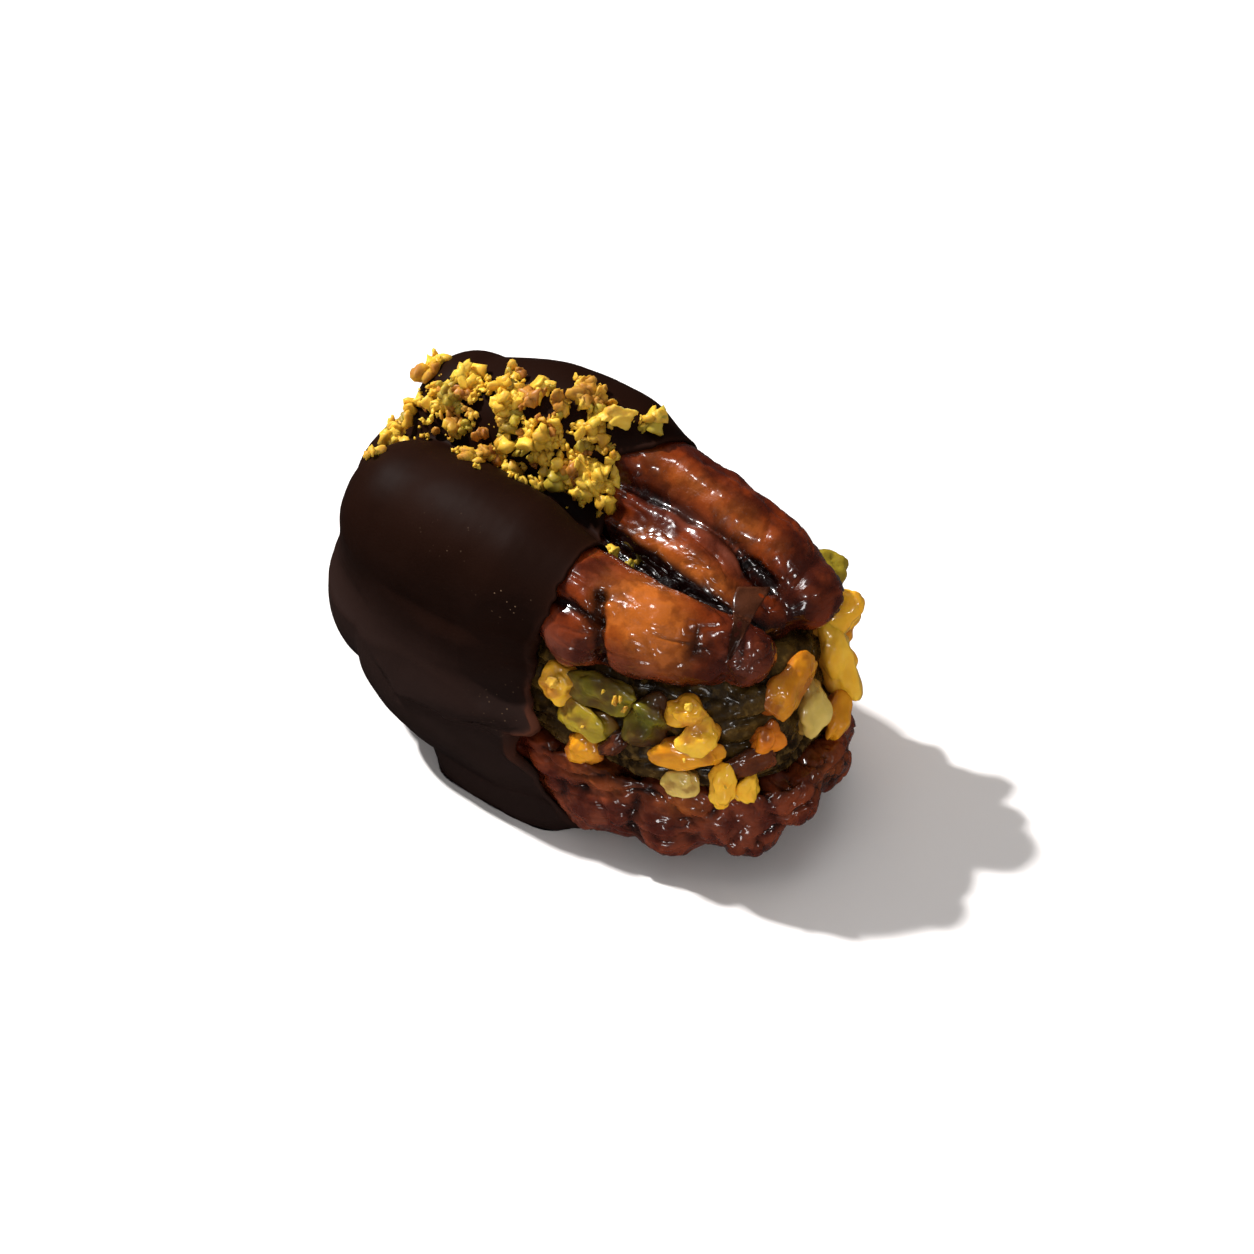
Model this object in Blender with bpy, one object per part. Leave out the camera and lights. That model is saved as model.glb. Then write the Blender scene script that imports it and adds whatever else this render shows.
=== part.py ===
"""A chocolate dipped date sweet: two glazed pecan halves with a layer of date flesh between them.

Chopped pistachios stick out of the date layer all round its bare end. Dark chocolate covers the
other end, with a wavy edge, a small foot where it set on the tray, and a line of pistachio crumbs.

Lengths are in millimetres, and each mesh is written in metres. X runs along the sweet, with the
bare end at +X. Y runs across it and Z is up, with the floor at zero and the origin at the centre
of the base.
"""

import math
import random

import bmesh
import bpy
import numpy as np
from mathutils import Euler, Matrix, Vector, noise

MM = 0.001

# Gaps and walls.
GAP = 0.32
CHOCOLATE_WALL = 1.05
FLOOR = 0.0

# Moves the middle of the base onto the origin.
SHIFT = (0.44, -0.085, 0.0)

# Top pecan half. Each station of a ridge is x, y, z of its centre line and its radius.
TOP_FACE_Z = 14.4
TOP_BODY_CENTRE = (-2.6, 0.3, 14.8)
TOP_BODY_SIZE = (13.6, 7.8, 1.8)
TOP_FAR_RIDGE = [
    (-14.2, 3.5, 17.0, 3.2),
    (-9.0, 4.1, 18.4, 3.5),
    (-3.0, 5.2, 18.9, 3.0),
    (1.0, 5.6, 19.0, 2.5),
    (5.0, 5.7, 18.8, 2.4),
    (8.5, 5.7, 17.9, 2.4),
    (11.0, 5.8, 16.8, 2.5),
    (12.6, 5.4, 15.8, 2.3),
]
TOP_NEAR_RIDGE = [
    (-12.4, -4.9, 15.9, 3.5),
    (-8.0, -5.2, 16.9, 3.7),
    (-2.0, -5.2, 17.1, 3.6),
    (3.0, -5.0, 16.9, 3.4),
    (6.5, -4.7, 16.7, 3.3),
    (9.6, -3.7, 16.5, 3.0),
    (12.0, -2.3, 16.1, 2.7),
    (13.3, -1.1, 15.6, 2.1),
]
TOP_MIDDLE_RIDGE = [
    (-8.0, 1.2, 16.2, 0.8),
    (-2.0, 2.0, 17.8, 0.9),
    (1.9, 1.8, 18.2, 1.15),
    (4.5, 1.5, 17.8, 1.3),
    (6.8, 1.3, 17.1, 1.4),
    (8.9, 1.1, 16.0, 1.45),
    (9.9, 0.8, 15.0, 1.3),
]
TOP_RIM_LOBES = [(2.8, -7.4, 15.8, 1.7), (-0.5, 7.0, 15.6, 2.0), (5.5, 7.2, 15.6, 1.8)]

# Bottom pecan half, a little larger, with its rounded side down.
BOTTOM_FACE_Z = 7.2
BOTTOM_BODY_CENTRE = (0.9, 0.0, 6.4)
BOTTOM_BODY_SIZE = (17.2, 10.0, 3.6)
BOTTOM_SIDE_RIDGE = [
    (-13.0, 5.4, 8.0, 3.2),
    (-11.5, 6.2, 6.8, 3.5),
    (-8.0, 6.7, 5.1, 3.6),
    (0.0, 6.6, 4.4, 3.6),
    (6.0, 6.3, 4.0, 3.6),
    (10.0, 5.4, 3.7, 3.5),
    (13.4, 3.8, 4.3, 3.2),
    (15.2, 2.3, 5.0, 2.7),
]
BOTTOM_MIDDLE_RIDGE = [
    (-12.0, 0.0, 7.4, 3.0),
    (-6.0, 0.0, 5.2, 3.2),
    (2.0, 0.0, 4.3, 3.3),
    (9.0, 0.0, 3.2, 3.3),
    (13.5, 0.0, 4.6, 3.0),
]
BOTTOM_RIM_LOBES = [
    (6.2, -7.8, 3.0, 2.5),
    (10.6, -6.8, 3.1, 2.4),
    (14.6, -4.6, 3.3, 2.2),
    (16.6, -1.2, 4.8, 2.0),
    (16.0, 2.4, 5.2, 2.0),
    (13.8, 5.6, 4.2, 2.3),
    (9.6, 7.4, 3.6, 2.5),
    (4.8, 8.0, 3.4, 2.5),
]

# Date layer between the nuts. It leans in towards the top.
DATE_MIDDLE_X = -0.6
DATE_MIDDLE_Y = 0.2
DATE_MIDDLE_Z = 10.8
DATE_HALF_HEIGHT = 3.25
DATE_HALF_LENGTH = 16.6
DATE_HALF_WIDTH = 8.8
DATE_LEAN = 0.24
DATE_CORNER = 1.7
DATE_FULLNESS = 2.5

# Chocolate foot on the tray.
FOOT_MIDDLE_X = -1.4
FOOT_HALF_LENGTH = 6.8
FOOT_HALF_WIDTH = 10.9
FOOT_HEIGHT = 1.3

# Edge of the chocolate, as its x at a bearing round the long axis. Zero is up and 90 is the far side.
SECTION_CENTRE_Z = 11.0
DIP_EDGE = [
    (-180.0, 4.6),
    (-137.0, 4.6),
    (-128.0, 3.0),
    (-120.0, 2.0),
    (-114.0, 0.6),
    (-107.0, 0.2),
    (-100.0, 2.3),
    (-92.0, 0.7),
    (-82.0, 0.5),
    (-68.0, 0.7),
    (-55.0, 1.7),
    (-45.0, 2.0),
    (-31.0, 1.9),
    (-14.0, 1.0),
    (2.0, -1.0),
    (16.0, -2.2),
    (24.0, -0.3),
    (40.0, 1.0),
    (70.0, 0.4),
    (100.0, 1.6),
    (125.0, 2.4),
    (150.0, 3.8),
    (180.0, 4.6),
]

# Pistachio pieces: x, y, z of the outermost point, then length, breadth and lean in degrees.
PISTACHIOS = [
    (2.9, -9.1, 12.4, 2.6, 2.3, 70.0),
    (6.2, -8.5, 13.4, 5.0, 2.7, 12.0),
    (5.4, -9.4, 10.8, 3.9, 2.2, 8.0),
    (9.8, -8.1, 12.2, 3.5, 3.0, 65.0),
    (5.4, -9.7, 8.0, 2.7, 2.3, 65.0),
    (7.5, -9.2, 9.7, 2.3, 1.1, 50.0),
    (11.8, -5.9, 14.0, 2.3, 2.0, 0.0),
    (13.1, -6.7, 12.6, 3.3, 2.7, 60.0),
    (12.4, -7.6, 10.6, 4.1, 1.9, 6.0),
    (12.6, -8.0, 8.4, 2.3, 1.8, 10.0),
    (15.1, -6.4, 8.3, 3.4, 1.8, 85.0),
    (16.2, -5.1, 7.4, 2.6, 1.5, 80.0),
    (16.4, -3.1, 11.0, 2.2, 2.0, 30.0),
    (16.1, 0.1, 13.4, 4.6, 2.8, 50.0),
    (15.6, 7.0, 10.6, 4.8, 3.0, 80.0),
    (14.4, 8.8, 13.8, 3.1, 2.2, 75.0),
    (17.0, 1.2, 10.7, 2.8, 2.4, 60.0),
    (15.9, -4.7, 9.7, 3.3, 1.7, 5.0),
    (11.4, 10.2, 14.6, 2.8, 2.4, 40.0),
    (17.2, 4.0, 8.4, 3.2, 2.0, 15.0),
    (14.0, 8.6, 8.2, 3.0, 2.2, 20.0),
    (12.2, 9.9, 11.0, 3.9, 2.4, 15.0),
    (10.4, 10.2, 8.6, 2.9, 2.3, 60.0),
    (8.8, 10.4, 11.4, 3.3, 2.3, 80.0),
    (7.4, 9.6, 13.4, 3.0, 2.0, 20.0),
    (6.0, 10.4, 9.0, 2.9, 2.1, 35.0),
    (4.8, 9.9, 11.8, 2.9, 2.2, 55.0),
]
PISTACHIO_DEPTH = 0.36
PISTACHIO_SINK = 0.4

# Crumbs in clusters on the chocolate: x, y of the middle, spread along x and y, and how many.
CRUMB_CLUSTERS = [
    (-17.3, 2.8, 0.4, 0.7, 3),
    (-15.0, 0.2, 1.0, 0.9, 8),
    (-12.4, 1.8, 1.7, 1.1, 14),
    (-8.9, 2.4, 1.6, 1.3, 13),
    (-6.7, 5.4, 0.6, 0.7, 4),
    (-3.3, 5.2, 0.7, 0.8, 5),
    (-9.0, -2.7, 1.1, 0.6, 6),
    (-6.2, -0.4, 1.4, 1.2, 12),
    (-2.6, 0.9, 1.1, 1.3, 13),
    (-15.4, -3.4, 0.5, 0.8, 3),
]
CRUMB_RADIUS = (0.40, 0.95)

# Quads along the edge of each body's starting cube, and the triangles left once it is thinned.
QUADS = 26
TOP_TRIANGLES = 2100
BOTTOM_TRIANGLES = 1700
DATE_TRIANGLES = 800
SEAT_TRIANGLES = 900
COAT_TRIANGLES = 4700
EDGE_STEPS = 96
SHARP_ANGLE = math.radians(50.0)

COLOURS = {
    "pecan": (0.215, 0.060, 0.022, 1.0),
    "date": (0.045, 0.030, 0.014, 1.0),
    "chocolate": (0.022, 0.011, 0.008, 1.0),
}


def smooth_union(first, second, width):
    """The nearer of two distances, rounded over the width where they meet."""
    overlap = np.clip(width - np.abs(first - second), 0.0, None) / width
    return np.minimum(first, second) - overlap * overlap * width / 4.0


def smooth_stations(stations, steps=60):
    """Catmull-Rom curves through the columns of the stations, read at even steps along x."""
    knots = np.array(stations, float)
    padded = np.vstack([2 * knots[0] - knots[1], knots, 2 * knots[-1] - knots[-2]])
    rows = []
    for start in range(len(knots) - 1):
        before, first, second, after = padded[start : start + 4]
        for t in np.linspace(0.0, 1.0, steps // len(knots) + 2)[:-1]:
            rows.append(
                0.5
                * (
                    2 * first
                    + (second - before) * t
                    + (2 * before - 5 * first + 4 * second - after) * t**2
                    + (3 * first - before - 3 * second + after) * t**3
                )
            )
    rows.append(knots[-1])
    return np.array(rows)


def ridge_field(p, curve, height=1.0, mirror=1.0):
    """Distance to a rounded ridge whose centre line and radius follow the curve along x."""
    x = np.clip(p[:, 0], curve[0, 0], curve[-1, 0])
    y, z, radius = (np.interp(x, curve[:, 0], curve[:, column]) for column in (1, 2, 3))
    across = p[:, 1] - mirror * y
    return np.sqrt((p[:, 0] - x) ** 2 + across**2 + ((p[:, 2] - z) / height) ** 2) - radius


def lens_field(p, centre, size):
    """Distance, nearly, to an ellipsoid."""
    scaled = (p - np.array(centre)) / np.array(size)
    near = np.linalg.norm(scaled, axis=1)
    slope = np.linalg.norm(scaled / np.array(size), axis=1) + 1e-9
    return near * (near - 1.0) / slope


def lobes_field(p, lobes):
    """Distance to the nearest of several balls, each given as x, y, z and radius."""
    return np.min([np.linalg.norm(p - np.array(lobe[:3]), axis=1) - lobe[3] for lobe in lobes], axis=0)


TOP_CURVES = [smooth_stations(s) for s in (TOP_FAR_RIDGE, TOP_NEAR_RIDGE, TOP_MIDDLE_RIDGE)]
BOTTOM_CURVES = [smooth_stations(s) for s in (BOTTOM_SIDE_RIDGE, BOTTOM_MIDDLE_RIDGE)]


def top_pecan_field(p):
    """The top half: three ridges along its back, over a flat inner face."""
    nut = lens_field(p, TOP_BODY_CENTRE, TOP_BODY_SIZE)
    nut = smooth_union(nut, ridge_field(p, TOP_CURVES[0]), 0.6)
    nut = smooth_union(nut, ridge_field(p, TOP_CURVES[1]), 0.6)
    nut = smooth_union(nut, ridge_field(p, TOP_CURVES[2], height=1.3), 0.3)
    nut = smooth_union(nut, lobes_field(p, TOP_RIM_LOBES), 0.8)
    return np.maximum(nut, TOP_FACE_Z - p[:, 2])


def bottom_pecan_field(p):
    """The bottom half: three ridges and a lobed rim, with its flat face up."""
    nut = lens_field(p, BOTTOM_BODY_CENTRE, BOTTOM_BODY_SIZE)
    for side in (-1.0, 1.0):
        nut = smooth_union(nut, ridge_field(p, BOTTOM_CURVES[0], mirror=side), 1.2)
    nut = smooth_union(nut, ridge_field(p, BOTTOM_CURVES[1]), 0.8)
    nut = smooth_union(nut, lobes_field(p, BOTTOM_RIM_LOBES), 0.9)
    return np.maximum(nut, p[:, 2] - BOTTOM_FACE_Z)


def date_field(p):
    """The date layer: an oval slab with rounded corners that leans in towards its top."""
    up = p[:, 2] - DATE_MIDDLE_Z
    inset = DATE_LEAN * up + DATE_CORNER
    x = (p[:, 0] - DATE_MIDDLE_X) / (DATE_HALF_LENGTH - inset)
    y = (p[:, 1] - DATE_MIDDLE_Y) / (DATE_HALF_WIDTH - inset)
    reach = (np.abs(x) ** DATE_FULLNESS + np.abs(y) ** DATE_FULLNESS) ** (1 / DATE_FULLNESS) + 1e-9
    slope = np.hypot(
        (np.abs(x) / reach) ** (DATE_FULLNESS - 1) / (DATE_HALF_LENGTH - inset),
        (np.abs(y) / reach) ** (DATE_FULLNESS - 1) / (DATE_HALF_WIDTH - inset),
    )
    side = (reach - 1.0) / slope
    rise = np.abs(up) - (DATE_HALF_HEIGHT - DATE_CORNER)
    outside = np.hypot(np.clip(side, 0.0, None), np.clip(rise, 0.0, None))
    return outside + np.minimum(np.maximum(side, rise), 0.0) - DATE_CORNER


def core_field(p, width):
    """Both nuts and the date layer together, rounded over the width where they meet."""
    nuts = smooth_union(top_pecan_field(p), bottom_pecan_field(p), width)
    return smooth_union(nuts, date_field(p), width)


def hollow_field(p):
    """The inside of the chocolate, a gap away from what it covers."""
    return core_field(p, 2.0) - GAP


def coat_field(p):
    """The outside of the chocolate, which bridges the waist and spreads into a foot."""
    coat = core_field(p, 4.0) - CHOCOLATE_WALL
    x = np.abs((p[:, 0] - FOOT_MIDDLE_X) / FOOT_HALF_LENGTH)
    y = np.abs(p[:, 1] / FOOT_HALF_WIDTH)
    side = ((x**4 + y**4) ** 0.25 - 1.0) * FOOT_HALF_LENGTH
    foot = np.hypot(np.clip(side + 0.7, 0.0, None), np.clip(p[:, 2] - FOOT_HEIGHT + 0.7, 0.0, None)) - 0.7
    return smooth_union(coat, foot, 1.2)


def dip_edge(bearing):
    """The x of the chocolate's edge at a bearing in degrees round the long axis."""
    table = np.array(DIP_EDGE)
    return np.interp(bearing, table[:, 0], table[:, 1])


def pecan_relief(p, strength=0.28):
    """Coarse wrinkles of a nut's skin, as a height at each point."""
    return np.array([strength * noise.noise(Vector(q) * 0.42) for q in p])


def no_relief(p):
    """A smooth surface."""
    return np.zeros(len(p))


def slopes(field, p, step=0.05):
    """Outward unit directions of a field at each point."""
    found = np.empty_like(p)
    for axis in range(3):
        shift = np.zeros(3)
        shift[axis] = step
        found[:, axis] = field(p + shift) - field(p - shift)
    return found / (np.linalg.norm(found, axis=1, keepdims=True) + 1e-9)


def first_hits(field, starts, ends, samples=72, halvings=12):
    """Where each line from a start to an end first meets the field's surface."""
    near = np.zeros(len(starts))
    found = np.zeros(len(starts), bool)
    for t in np.linspace(0.0, 1.0, samples):
        inside = field(starts + (ends - starts) * t) < 0.0
        near = np.where(found | inside, near, t)
        found |= inside
    far = np.minimum(near + 1.0 / (samples - 1), 1.0)
    for _ in range(halvings):
        middle = (near + far) / 2
        inside = field(starts + (ends - starts) * middle[:, None]) < 0.0
        far = np.where(inside, middle, far)
        near = np.where(inside, near, middle)
    return starts + (ends - starts) * far[:, None]


def points_of(bm):
    """The vertices of a bmesh as an array."""
    return np.array([vertex.co for vertex in bm.verts])


def move_points(bm, points):
    """Puts the vertices of a bmesh at the rows of an array."""
    for vertex, point in zip(bm.verts, points):
        vertex.co = point


def wrapped_body(field, spine, reach, relief=no_relief, rounds=6):
    """A cube of quads drawn tight round a field, from a box of the given reach to a spine along x."""
    bm = bmesh.new()
    bmesh.ops.create_cube(bm, size=2.0)
    bmesh.ops.subdivide_edges(bm, edges=bm.edges[:], cuts=QUADS - 1, use_grid_fill=True)
    cube = points_of(bm)
    ball = cube * np.sqrt(
        1
        - np.roll(cube, 1, 1) ** 2 / 2
        - np.roll(cube, 2, 1) ** 2 / 2
        + np.roll(cube, 1, 1) ** 2 * np.roll(cube, 2, 1) ** 2 / 3
    )
    middle = np.array([(spine[0] + spine[1]) / 2, spine[2], spine[3]])
    starts = middle + ball * np.array(reach)
    ends = np.tile(middle, (len(starts), 1))
    ends[:, 0] = np.clip(middle[0] + ball[:, 0] * (spine[1] - spine[0]) / 2 * 1.3, spine[0], spine[1])
    move_points(bm, first_hits(field, starts, ends))
    for _ in range(rounds):
        bmesh.ops.smooth_vert(
            bm, verts=bm.verts[:], factor=0.5, use_axis_x=True, use_axis_y=True, use_axis_z=True
        )
        points = points_of(bm)
        for _ in range(2):
            points = points - slopes(field, points) * field(points)[:, None] * 0.8
        move_points(bm, points)
    points = points_of(bm)
    move_points(bm, points + slopes(field, points) * relief(points)[:, None])
    return bm


def thinned(obj, triangles):
    """Reduces a mesh to about the given number of triangles."""
    modifier = obj.modifiers.new("Thin", "DECIMATE")
    modifier.ratio = triangles / sum(len(face.vertices) - 2 for face in obj.data.polygons)
    bpy.context.view_layer.objects.active = obj
    bpy.ops.object.modifier_apply(modifier=modifier.name)
    return obj


def stand_on_floor(bm):
    """Flattens what would reach below the floor."""
    for vertex in bm.verts:
        vertex.co.z = max(vertex.co.z, FLOOR)


def new_object(name, bm, collection=None):
    """A smooth shaded object from a bmesh in millimetres, with its mesh in metres."""
    bmesh.ops.recalc_face_normals(bm, faces=bm.faces[:])
    bmesh.ops.translate(bm, vec=SHIFT, verts=bm.verts[:])
    bmesh.ops.scale(bm, vec=(MM, MM, MM), verts=bm.verts[:])
    mesh = bpy.data.meshes.new(name)
    bm.to_mesh(mesh)
    bm.free()
    mesh.shade_smooth()
    obj = bpy.data.objects.new(name, mesh)
    (collection or bpy.context.scene.collection).objects.link(obj)
    return obj


def apply_boolean(target, other, operation):
    """Joins another object or a collection to the target, or cuts it away, then removes the other.

    The exact solver drops most of the body here, so all cuts and unions use the manifold one.
    """
    modifier = target.modifiers.new(operation.title(), "BOOLEAN")
    modifier.operation = operation
    modifier.solver = "MANIFOLD"
    is_collection = isinstance(other, bpy.types.Collection)
    modifier.operand_type = "COLLECTION" if is_collection else "OBJECT"
    if is_collection:
        modifier.collection = other
    else:
        modifier.object = other
    bpy.context.view_layer.objects.active = target
    bpy.ops.object.modifier_apply(modifier=modifier.name)
    for used in list(other.objects) if is_collection else [other]:
        bpy.data.objects.remove(used)
    if is_collection:
        bpy.data.collections.remove(other)


def keep_largest_piece(obj):
    """Drops the loose scraps that a cut leaves."""
    bm = bmesh.new()
    bm.from_mesh(obj.data)
    unseen = set(bm.verts)
    pieces = []
    while unseen:
        piece, edge = set(), [unseen.pop()]
        while edge:
            vertex = edge.pop()
            piece.add(vertex)
            for neighbour in (e.other_vert(vertex) for e in vertex.link_edges):
                if neighbour in unseen:
                    unseen.remove(neighbour)
                    edge.append(neighbour)
        pieces.append(piece)
    largest = max(pieces, key=len)
    bmesh.ops.delete(bm, geom=[v for v in bm.verts if v not in largest], context="VERTS")
    bm.to_mesh(obj.data)
    bm.free()


def nugget(size, turn, place, rough, subdivisions, seed):
    """An uneven nut fragment: a ball stretched to its size, dented, turned and put in place."""
    bm = bmesh.new()
    bmesh.ops.create_icosphere(bm, subdivisions=subdivisions, radius=1.0)
    offset = Vector((seed * 3.7, seed * 1.3, -seed * 2.1))
    for vertex in bm.verts:
        vertex.co *= 1.0 + rough * noise.noise(vertex.co * 1.1 + offset)
        vertex.co = Vector(a * b for a, b in zip(vertex.co, size))
    bmesh.ops.transform(bm, matrix=Matrix.Translation(place) @ turn.to_4x4(), verts=bm.verts[:])
    return bm


def material(name, roughness):
    """A plain material of the part's colour."""
    made = bpy.data.materials.new(name)
    made.use_nodes = True
    shader = made.node_tree.nodes["Principled BSDF"]
    shader.inputs["Base Color"].default_value = COLOURS[name]
    shader.inputs["Roughness"].default_value = roughness
    shader.inputs["Metallic"].default_value = 0.0
    return made


def pecan_halves():
    """Both nuts, and for each a slightly larger copy that cuts its seat."""
    made = []
    for name, field, triangles, spine, reach in (
        ("pecan_top", top_pecan_field, TOP_TRIANGLES, (-11.0, 11.0, 0.0, 15.4), (20.0, 13.0, 12.0)),
        ("pecan_bottom", bottom_pecan_field, BOTTOM_TRIANGLES, (-11.0, 12.5, 0.0, 6.3), (24.0, 15.0, 12.0)),
    ):
        nut = wrapped_body(field, spine, reach, pecan_relief)
        stand_on_floor(nut)
        seat = wrapped_body(field, spine, reach, lambda p: pecan_relief(p) + GAP)
        made.append(
            (
                thinned(new_object(name, nut), triangles),
                thinned(new_object(name + "_seat", seat), SEAT_TRIANGLES),
            )
        )
    return made


def pistachio_pieces():
    """The chopped pistachios, each sunk a little way into the side of the date layer."""
    pieces = bpy.data.collections.new("pistachios")
    bpy.context.scene.collection.children.link(pieces)
    for number, (x, y, z, length, breadth, lean) in enumerate(PISTACHIOS):
        tip = np.array([[x, y, z]])
        outward = Vector(slopes(date_field, tip)[0])
        stand_out = float(date_field(tip)[0])
        depth = max(breadth * PISTACHIO_DEPTH, (stand_out + PISTACHIO_SINK) / 2)
        flat = outward.to_track_quat("Z", "Y").to_matrix()
        level = flat.inverted() @ Vector((-outward.y, outward.x, 0.0))
        spin = math.atan2(level.y, level.x) + math.radians(lean)
        turn = flat @ Euler((0.0, 0.0, spin)).to_matrix()
        size = (length / 2, breadth / 2, depth)
        piece = nugget(size, turn, Vector(tip[0]) - outward * depth, 0.45, 2, number)
        new_object(f"pistachio_{number}", piece, pieces)
    return pieces


def date_layer(seats):
    """The date flesh with its pistachios, seated between the nuts."""
    body = wrapped_body(date_field, (-11.0, 11.0, 0.0, DATE_MIDDLE_Z), (20.0, 13.0, 9.0))
    layer = thinned(new_object("date_layer", body), DATE_TRIANGLES)
    apply_boolean(layer, pistachio_pieces(), "UNION")
    for seat in seats:
        apply_boolean(layer, seat, "DIFFERENCE")
    keep_largest_piece(layer)
    return layer


def edge_cutter():
    """A solid whose face is the wavy edge of the chocolate, and which removes all beyond it."""
    bm = bmesh.new()
    bmesh.ops.create_circle(bm, cap_ends=True, cap_tris=True, segments=EDGE_STEPS, radius=30.0)
    axis_x = float(np.mean([x for _, x in DIP_EDGE]))
    for vertex in bm.verts:
        bearing = math.degrees(math.atan2(vertex.co.y, vertex.co.x))
        on_axis = vertex.co.length < 1e-6
        x = axis_x if on_axis else float(dip_edge(bearing))
        vertex.co = Vector((x, vertex.co.y, vertex.co.x + SECTION_CENTRE_Z))
    grown = bmesh.ops.extrude_face_region(bm, geom=bm.faces[:])
    for vertex in (item for item in grown["geom"] if isinstance(item, bmesh.types.BMVert)):
        vertex.co.x = 40.0
    return new_object("edge_cutter", bm)


def crumbs():
    """Pistachio crumbs that lie in clusters on the chocolate, each sunk in by half."""
    draw = random.Random(11)
    pieces = bpy.data.collections.new("crumbs")
    bpy.context.scene.collection.children.link(pieces)
    number = 0
    for x, y, along, across, count in CRUMB_CLUSTERS:
        for _ in range(count):
            spot = (x + draw.uniform(-along, along), y + draw.uniform(-across, across))
            top = np.array([[*spot, 30.0]])
            place = Vector(first_hits(coat_field, top, np.array([[*spot, 11.0]]), 160)[0])
            radius = draw.uniform(*CRUMB_RADIUS)
            size = (radius, radius * draw.uniform(0.7, 1.1), radius * draw.uniform(0.6, 0.9))
            turn = Euler([draw.uniform(0.0, math.tau) for _ in range(3)]).to_matrix()
            crumb = nugget(size, turn, place + Vector((0.0, 0.0, 0.25)), 0.9, 1, number + 50)
            new_object(f"crumb_{number}", crumb, pieces)
            number += 1
    return pieces


def chocolate_coat():
    """The chocolate: a shell round one end, open where the dip ended, with its crumbs."""
    outside = wrapped_body(coat_field, (-10.0, 10.0, 0.0, 11.0), (24.0, 17.0, 18.0))
    stand_on_floor(outside)
    coat = new_object("chocolate_coat", outside)
    apply_boolean(coat, crumbs(), "UNION")
    apply_boolean(coat, edge_cutter(), "DIFFERENCE")
    inside = wrapped_body(hollow_field, (-10.0, 10.0, 0.0, 11.0), (24.0, 17.0, 18.0))
    apply_boolean(coat, new_object("hollow", inside), "DIFFERENCE")
    keep_largest_piece(coat)
    return thinned(coat, COAT_TRIANGLES)


def main():
    """Builds the sweet."""
    for obj in list(bpy.data.objects):
        bpy.data.objects.remove(obj)
    (top, top_seat), (bottom, bottom_seat) = pecan_halves()
    date = date_layer([top_seat, bottom_seat])
    coat = chocolate_coat()
    pecan = material("pecan", 0.35)
    for obj, finish in (
        (top, pecan),
        (bottom, pecan),
        (date, material("date", 0.3)),
        (coat, material("chocolate", 0.4)),
    ):
        obj.data.materials.clear()
        obj.data.materials.append(finish)
        obj.data.set_sharp_from_angle(angle=SHARP_ANGLE)


main()
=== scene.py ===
"""Dresses a chocolate dipped date sweet for a studio render.

Two glazed pecan halves hold a layer of date flesh that is set with chopped pistachio. Dark
chocolate covers one end, and pistachio crumbs lie along the groove on its top.

Inside the classes lengths are millimetres in the sweet's own frame: X runs along it towards the
bare end, Y across it and Z up from the tray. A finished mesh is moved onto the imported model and
scaled to metres.
"""

from __future__ import annotations

import logging
import math
import random
from dataclasses import dataclass, field
from enum import Enum
from functools import cached_property
from typing import Any, Callable, Iterable, Sequence

import bmesh
import bpy
import numpy as np
from mathutils import Euler, Matrix, Vector, noise

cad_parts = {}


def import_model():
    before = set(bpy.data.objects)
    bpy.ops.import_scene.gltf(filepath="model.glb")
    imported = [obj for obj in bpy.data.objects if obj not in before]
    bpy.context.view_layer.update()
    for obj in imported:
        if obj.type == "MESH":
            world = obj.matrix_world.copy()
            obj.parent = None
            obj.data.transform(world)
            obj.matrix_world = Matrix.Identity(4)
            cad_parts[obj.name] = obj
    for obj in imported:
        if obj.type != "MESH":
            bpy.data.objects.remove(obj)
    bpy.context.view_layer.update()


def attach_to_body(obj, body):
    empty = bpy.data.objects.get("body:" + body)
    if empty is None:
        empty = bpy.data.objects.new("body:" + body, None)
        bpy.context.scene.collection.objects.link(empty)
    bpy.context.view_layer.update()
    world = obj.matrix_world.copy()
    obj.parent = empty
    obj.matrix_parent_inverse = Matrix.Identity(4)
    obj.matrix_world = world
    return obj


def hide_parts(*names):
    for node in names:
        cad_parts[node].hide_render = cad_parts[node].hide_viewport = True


LOG = logging.getLogger("sweet")

Array = np.ndarray
Field = Callable[[Array], Array]
Place = tuple[float, float, float]
Colour = tuple[float, float, float]
Layers = tuple[tuple[float, float, float], ...]

MM = 0.001
BODY = "root"
SHIFT = (0.44, -0.085, 0.0)

# How surfaces are found: the share of each gap that is walked, the gap in millimetres at which a walk
# ends, the most strides in a walk, and the share of its gap by which a point is drawn back.
STRIDE = 0.85
CLOSE_ENOUGH = 0.004
MOST_STRIDES = 60
PULL = 0.8


def ramp(value: Array, low: float, high: float) -> Array:
    """A smooth step from 0 to 1.

    Args:
        value: What is stepped.
        low: Where the step starts.
        high: Where the step ends.

    Returns:
        The step at each value.
    """
    t = np.clip((value - low) / (high - low), 0.0, 1.0)
    return t * t * (3.0 - 2.0 * t)


def smooth_union(first: Array, second: Array, width: Array | float) -> Array:
    """Joins two distance fields with a rounded valley.

    Args:
        first: Distances to one form.
        second: Distances to the other form.
        width: How far the rounding reaches.

    Returns:
        Distances to both forms together.
    """
    overlap = np.clip(width - np.abs(first - second), 0.0, None) / width
    return np.minimum(first, second) - overlap * overlap * width / 4.0


def lumps(points: Array, size: float, seed: float = 0.0) -> Array:
    """Smooth noise between about -1 and 1.

    Args:
        points: Places, one to a row.
        size: How wide a lump is.
        seed: Picks another pattern.

    Returns:
        The noise at each place.
    """
    scaled = points / size + seed
    return np.array([noise.noise(row) for row in scaled.tolist()])


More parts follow.
